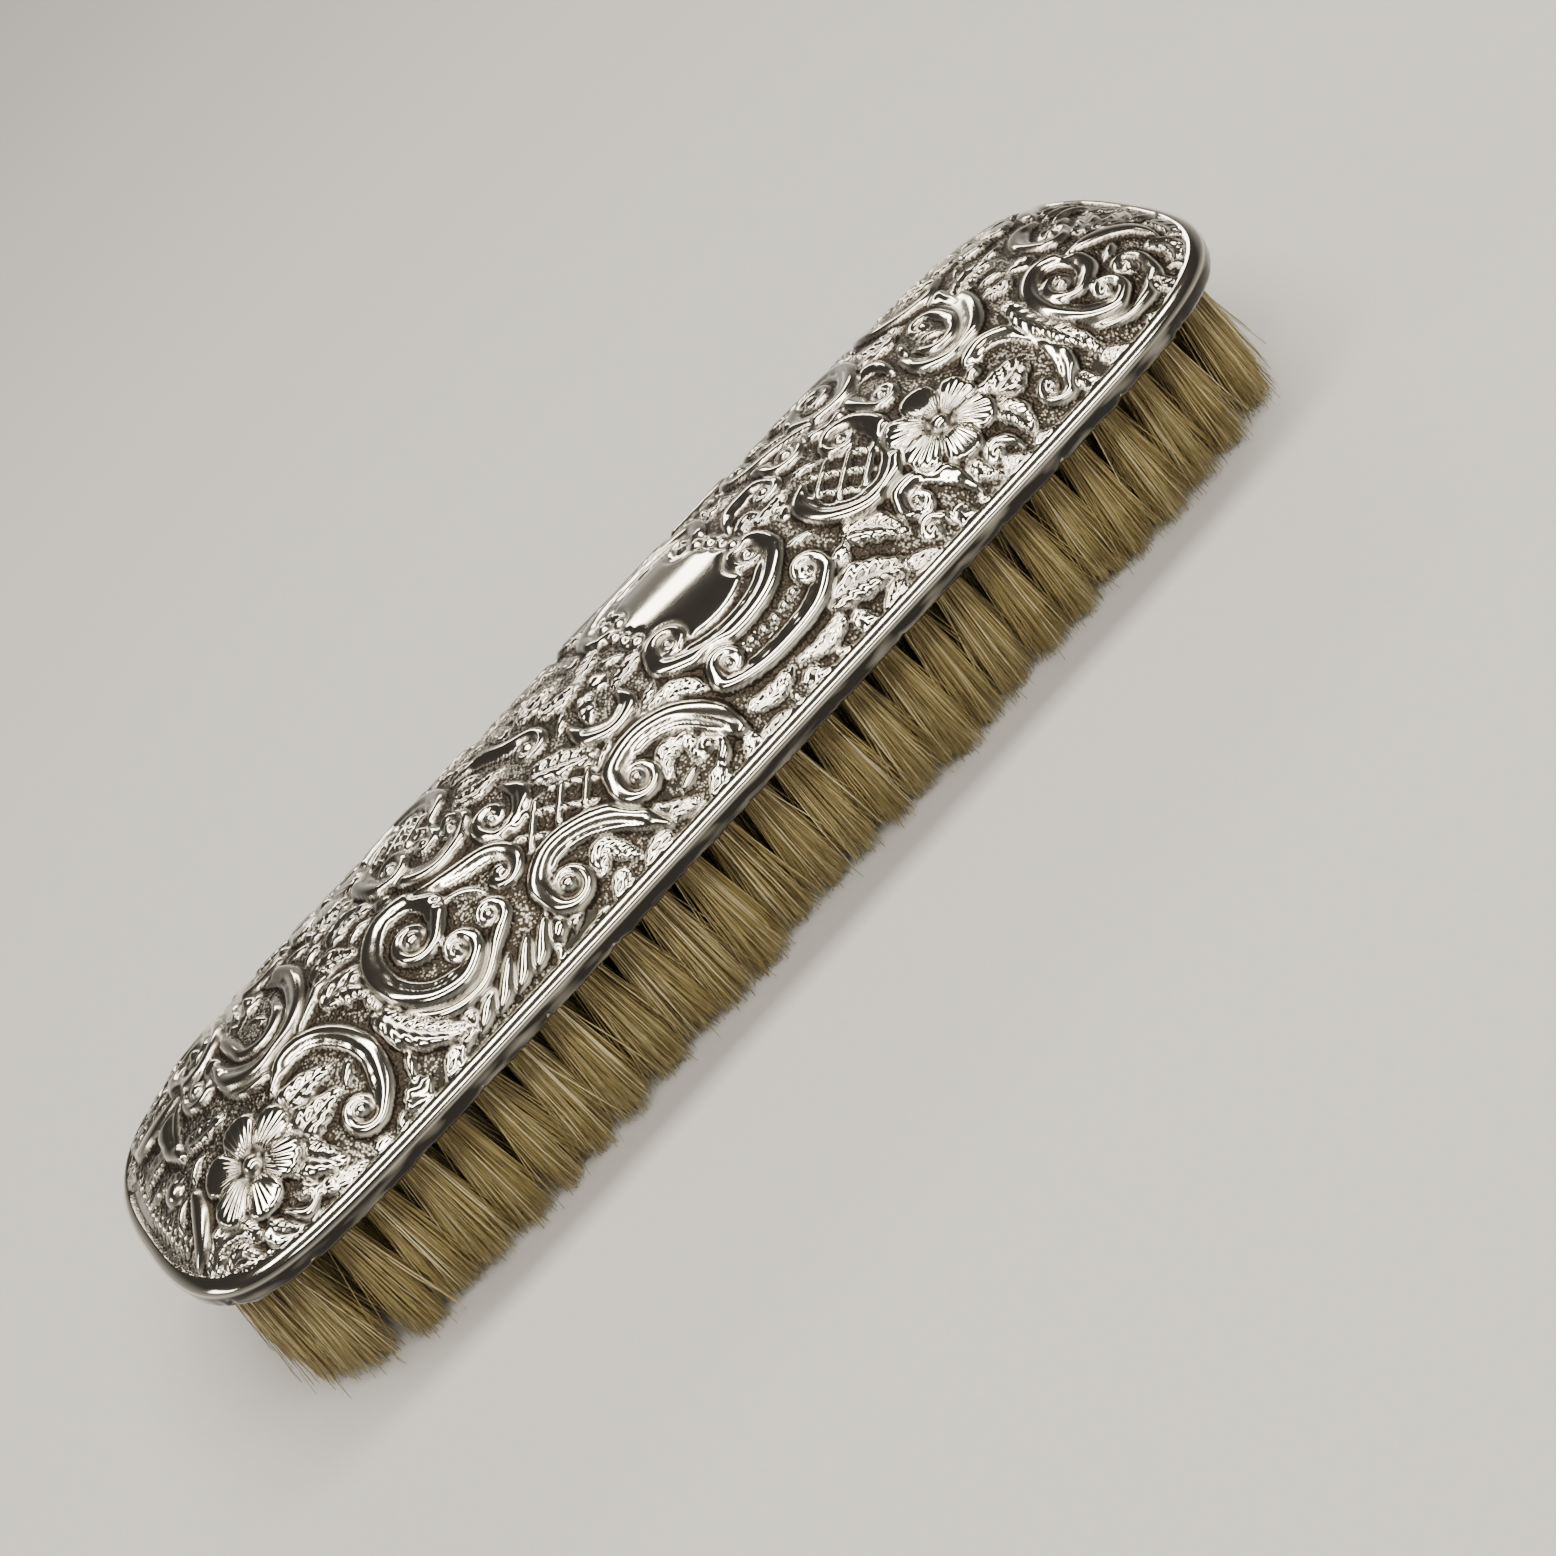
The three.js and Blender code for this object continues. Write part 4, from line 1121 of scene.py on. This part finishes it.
def strands(roots, angles, count, rng):
    """All the bristles of a row. Each runs from a point in its tuft's hole to a point in the
    spread tip, bowed on the way; its tip is drawn towards its lock's middle. The tufts lean
    outwards, more so towards the brush's edges. Gives rings of points up each bristle."""
    tufts = np.repeat(np.arange(len(roots)), count)
    total = len(tufts)
    lock = rng.integers(0, LOCKS, total)
    lock_angle = rng.uniform(0, 2 * np.pi, (len(roots), LOCKS))
    lock_radius = np.sqrt(rng.uniform(0.05, 1, (len(roots), LOCKS)))
    lock_length = rng.normal(0, LOCK_RAGGED, (len(roots), LOCKS))[tufts, lock]
    middle = on_circle(lock_radius, lock_angle)[tufts, lock]
    own_angle, own_radius = rng.uniform(0, 2 * np.pi, total), np.sqrt(rng.uniform(0, 1, total))
    own = on_circle(own_radius, own_angle)
    root = own * 0.7 + middle * 0.3
    tip = middle * LOCK_PULL + own * OWN_PULL + rng.normal(0, 0.12, (total, 2))
    stray = rng.uniform(0, 1, total) < STRAY_SHARE
    tip[stray] += rng.normal(0, STRAY_REACH, (stray.sum(), 2))
    tip = tip.clip(-TIP_LIMIT, TIP_LIMIT)
    out = roots / [HALF_LENGTH, HALF_WIDTH]
    lean = out * np.abs(out) ** LEAN_POWER * LEAN_OUT + rng.normal(0, LEAN_VARIES, roots.shape)
    c, s = np.cos(angles)[tufts], np.sin(angles)[tufts]

    def along_row(v):
        """Turns places from the tuft's own axes to its row's direction."""
        return np.stack([v[:, 0] * c - v[:, 1] * s, v[:, 0] * s + v[:, 1] * c], -1)

    start = roots[tufts] + along_row(root * ROOT_RADIUS)
    end = roots[tufts] + along_row(tip * TIP_SPREAD) + lean[tufts]
    tip_z = np.abs(TRIM_LOWEST + lock_length + rng.exponential(TRIM_RAGGED, total))
    tip_z = tip_z.clip(0.05, TRIM_HIGHEST)
    t = np.linspace(0, 1, STRAND_RINGS) ** 0.85
    bow = rng.normal(0, BOW, (total, 2))
    ease = t**1.05
    centre = start[:, None] * (1 - ease)[None, :, None] + end[:, None] * ease[None, :, None]
    centre = centre + bow[:, None] * (np.sin(np.pi * t) * t)[None, :, None]
    z = ROOT_Z + (tip_z[:, None] - ROOT_Z) * t[None, :]
    radius = rng.uniform(THINNEST, THICKEST, total)[:, None] * (1 - TIP_TAPER * t**3)[None, :]
    around = np.arange(STRAND_SIDES) * 2 * np.pi / STRAND_SIDES
    ring = on_circle(1, rng.uniform(0, 2 * np.pi, total)[:, None] + around)
    points = np.empty((total, STRAND_RINGS, STRAND_SIDES, 3))
    points[..., :2] = centre[:, :, None] + ring[:, None] * radius[:, :, None, None]
    points[..., 2] = z[:, :, None]
    return points, t, rng.uniform(0, 1, total)


def bristle_piece(name, path, count, rng):
    """One row of tufts as one mesh, each bristle a three-sided tapering prism."""
    roots, angles = row_tufts(path)
    points, t, shade = strands(roots, angles, count, rng)
    per = STRAND_RINGS * STRAND_SIDES
    base = (np.arange(len(points)) * per)[:, None]
    k, j = np.meshgrid(np.arange(STRAND_RINGS - 1), np.arange(STRAND_SIDES), indexing="ij")
    a = (k * STRAND_SIDES + j).ravel()
    b = (k * STRAND_SIDES + (j + 1) % STRAND_SIDES).ravel()
    sides = np.stack([a, a + STRAND_SIDES, b + STRAND_SIDES, b], -1)
    walls = (base[:, :, None] + sides[None]).reshape(-1, 4)
    top = base + np.arange(STRAND_SIDES)[None]
    end = base + np.arange(per - STRAND_SIDES, per)[None, ::-1]
    piece = new_mesh(name, points.reshape(-1, 3), [walls, top, end])
    set_attribute(piece, "along", np.broadcast_to(t[None, :, None], points.shape[:3]).ravel())
    set_attribute(piece, "shade", np.repeat(shade, per))
    return piece


def bristle_finish():
    """Straw-coloured horn: olive-brown and darker towards the root as painted shade, paler to the
    tip, each bristle its own tone, with a soft gloss."""
    hair = Finish("bristle_straw", IOR=1.55)
    along, shade = hair.stored("along"), hair.stored("shade")
    streak = hair.noise(hair.stretched(hair.place(), (900.0, 900.0, 120.0)), 1.0)
    # Darker towards the root, under the stock: painted shade. The rest of the tone varies at random
    # from bristle to bristle.
    tone = (along * 0.4 + shade * 0.8 + streak * 0.35 - 0.25).clipped(0.0, 1.15)
    colour = hair.colours(tone, HORN_DARK, HORN_STRAW)
    few = (shade - 0.78).clipped(0.0, 0.14) * 0.8
    return hair.finish(
        Base_Color=hair.colours(few, colour, HORN_PALE),
        Roughness=streak * 0.2 + 0.3,
        Normal=hair.bump(streak, 0.00002),
    )


rng = np.random.default_rng(20)
bristle_material = bristle_finish()
second_inset = EDGE_TO_OUTER_TUFT + ROW_PITCH
inner_reach = HALF_LENGTH - second_inset - (ROW_PITCH - 0.9) / 2 - 0.3
rows = {}
for number, inset in ((1, EDGE_TO_OUTER_TUFT), (2, second_inset)):
    for part, path in ring_paths(inset).items():
        rows[f"bristle_row_{number}_{part}"] = path
for number, across, reach in ((3, 1.5, inner_reach - TUFT_PITCH), (4, 0.5, inner_reach)):
    for part, side in (("near_side", -1), ("far_side", 1)):
        y = side * across * ROW_PITCH
        rows[f"bristle_row_{number}_{part}"] = np.array([[-reach, y], [reach, y]])
for node_name, path in rows.items():
    count = STRANDS_OUTER if "row_1" in node_name else STRANDS_INNER
    row = bristle_piece(node_name.replace("bristle_row", "bristles_of_row"), path, count, rng)
    row.data.materials.append(bristle_material)
    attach(row, "root")
    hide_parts(node_name)

# ---- Floor, light and camera ----------------------------------------------------------------
# A plain pale floor under soft studio light: two long narrow lights overhead, one behind, one
# on the left and one in front, in a grey room, palest low down, that the silver mirrors.

FLOOR_RADII, FLOOR_SIDES, FLOOR_Z = (400, 2000, 9000), 64, -0.15
FLOOR_PALE, FLOOR_DARK = (0.58, 0.575, 0.565, 1), (0.53, 0.525, 0.515, 1)
LAMP_COLOUR = (1, 0.945, 0.83)
LIGHTS = {
    "light_above_1": ((0.05, -0.4, 0.75), (0.05, -0.24, 0), (1.0, 0.13), 7.8),
    "light_above_2": ((0.05, 0.08, 0.75), (0.05, 0.048, 0), (1.0, 0.13), 7.8),
    "light_left": ((-1.0, 0.25, 0.55), (-0.05, 0, 0.02), (0.5, 0.16), 2.2),
    "light_behind": ((0.35, 1.0, 0.62), (0, 0, 0.02), (0.8, 0.16), 4.2),
    "light_front": ((0.25, -0.95, 0.5), (0, 0, 0.02), (0.7, 0.3), 1.8),
}
ROOM_LOW, ROOM_MIDDLE = (0.8, 0.79, 0.76, 1), (0.38, 0.37, 0.34, 1)
ROOM_HIGH, ROOM_STRENGTH = (0.06, 0.057, 0.052, 1), 0.7
LENS, SENSOR = 57.95, 36.0


def floor_piece():
    """A flat disc of floor, wide enough to reach the horizon."""
    angle = np.arange(FLOOR_SIDES) * 2 * np.pi / FLOOR_SIDES
    height = np.full(FLOOR_SIDES, FLOOR_Z)
    rings = [np.c_[on_circle(radius, angle), height] for radius in FLOOR_RADII]
    ids = np.arange(len(rings) * FLOOR_SIDES).reshape(len(rings), FLOOR_SIDES)
    faces = [ids[:1]] + [ring_faces(a, b)[:, ::-1] for a, b in zip(ids, ids[1:])]
    return new_mesh("floor", np.concatenate(rings), faces, smooth=False)


floor = floor_piece()
paper = Finish("floor_paper", Specular_IOR_Level=0.2)
fibre = paper.noise(paper.place(), 900.0, 3.0, 0.6)
floor.data.materials.append(
    paper.finish(
        Base_Color=paper.colours(fibre, FLOOR_DARK, FLOOR_PALE),
        Roughness=fibre * 0.1 + 0.75,
    )
)

for name, (place, target, size, power) in LIGHTS.items():
    data = bpy.data.lights.new(name, "AREA")
    data.shape, data.size, data.size_y = "RECTANGLE", *size
    data.energy, data.color = power, LAMP_COLOUR
    light = bpy.data.objects.new(name, data)
    bpy.context.scene.collection.objects.link(light)
    light.location = place
    away = Vector(np.array(place) - np.array(target))
    light.rotation_euler = away.to_track_quat("Z", "Y").to_euler()

world = bpy.data.worlds.new("studio")
bpy.context.scene.world = world
world.use_nodes = True
world_nodes, world_links = world.node_tree.nodes, world.node_tree.links
background = world_nodes["Background"]
direction = world_nodes.new("ShaderNodeTexCoord")
parts = world_nodes.new("ShaderNodeSeparateXYZ")
ramp = world_nodes.new("ShaderNodeValToRGB")
world_links.new(direction.outputs["Generated"], parts.inputs[0])
world_links.new(parts.outputs["Z"], ramp.inputs[0])
world_links.new(ramp.outputs[0], background.inputs[0])
low, high = ramp.color_ramp.elements
low.position, low.color = 0.0, ROOM_LOW
high.position, high.color = 0.5, ROOM_HIGH
ramp.color_ramp.elements.new(0.2).color = ROOM_MIDDLE
background.inputs[1].default_value = ROOM_STRENGTH

camera_data = bpy.data.cameras.new("camera")
camera_data.lens, camera_data.sensor_width = LENS, SENSOR
camera_data.clip_start, camera_data.clip_end = 0.01, 50.0
camera = bpy.data.objects.new("camera", camera_data)
bpy.context.scene.collection.objects.link(camera)
bpy.context.scene.camera = camera
camera.matrix_world = Matrix(
    (
        (0.66977682, 0.72524425, -0.15943586, -0.04604),
        (-0.50272117, 0.28484784, -0.81616979, -0.2602),
        (-0.54650749, 0.62680339, 0.55538012, 0.1596 + RIM_Z * MM),
        (0, 0, 0, 1),
    )
)
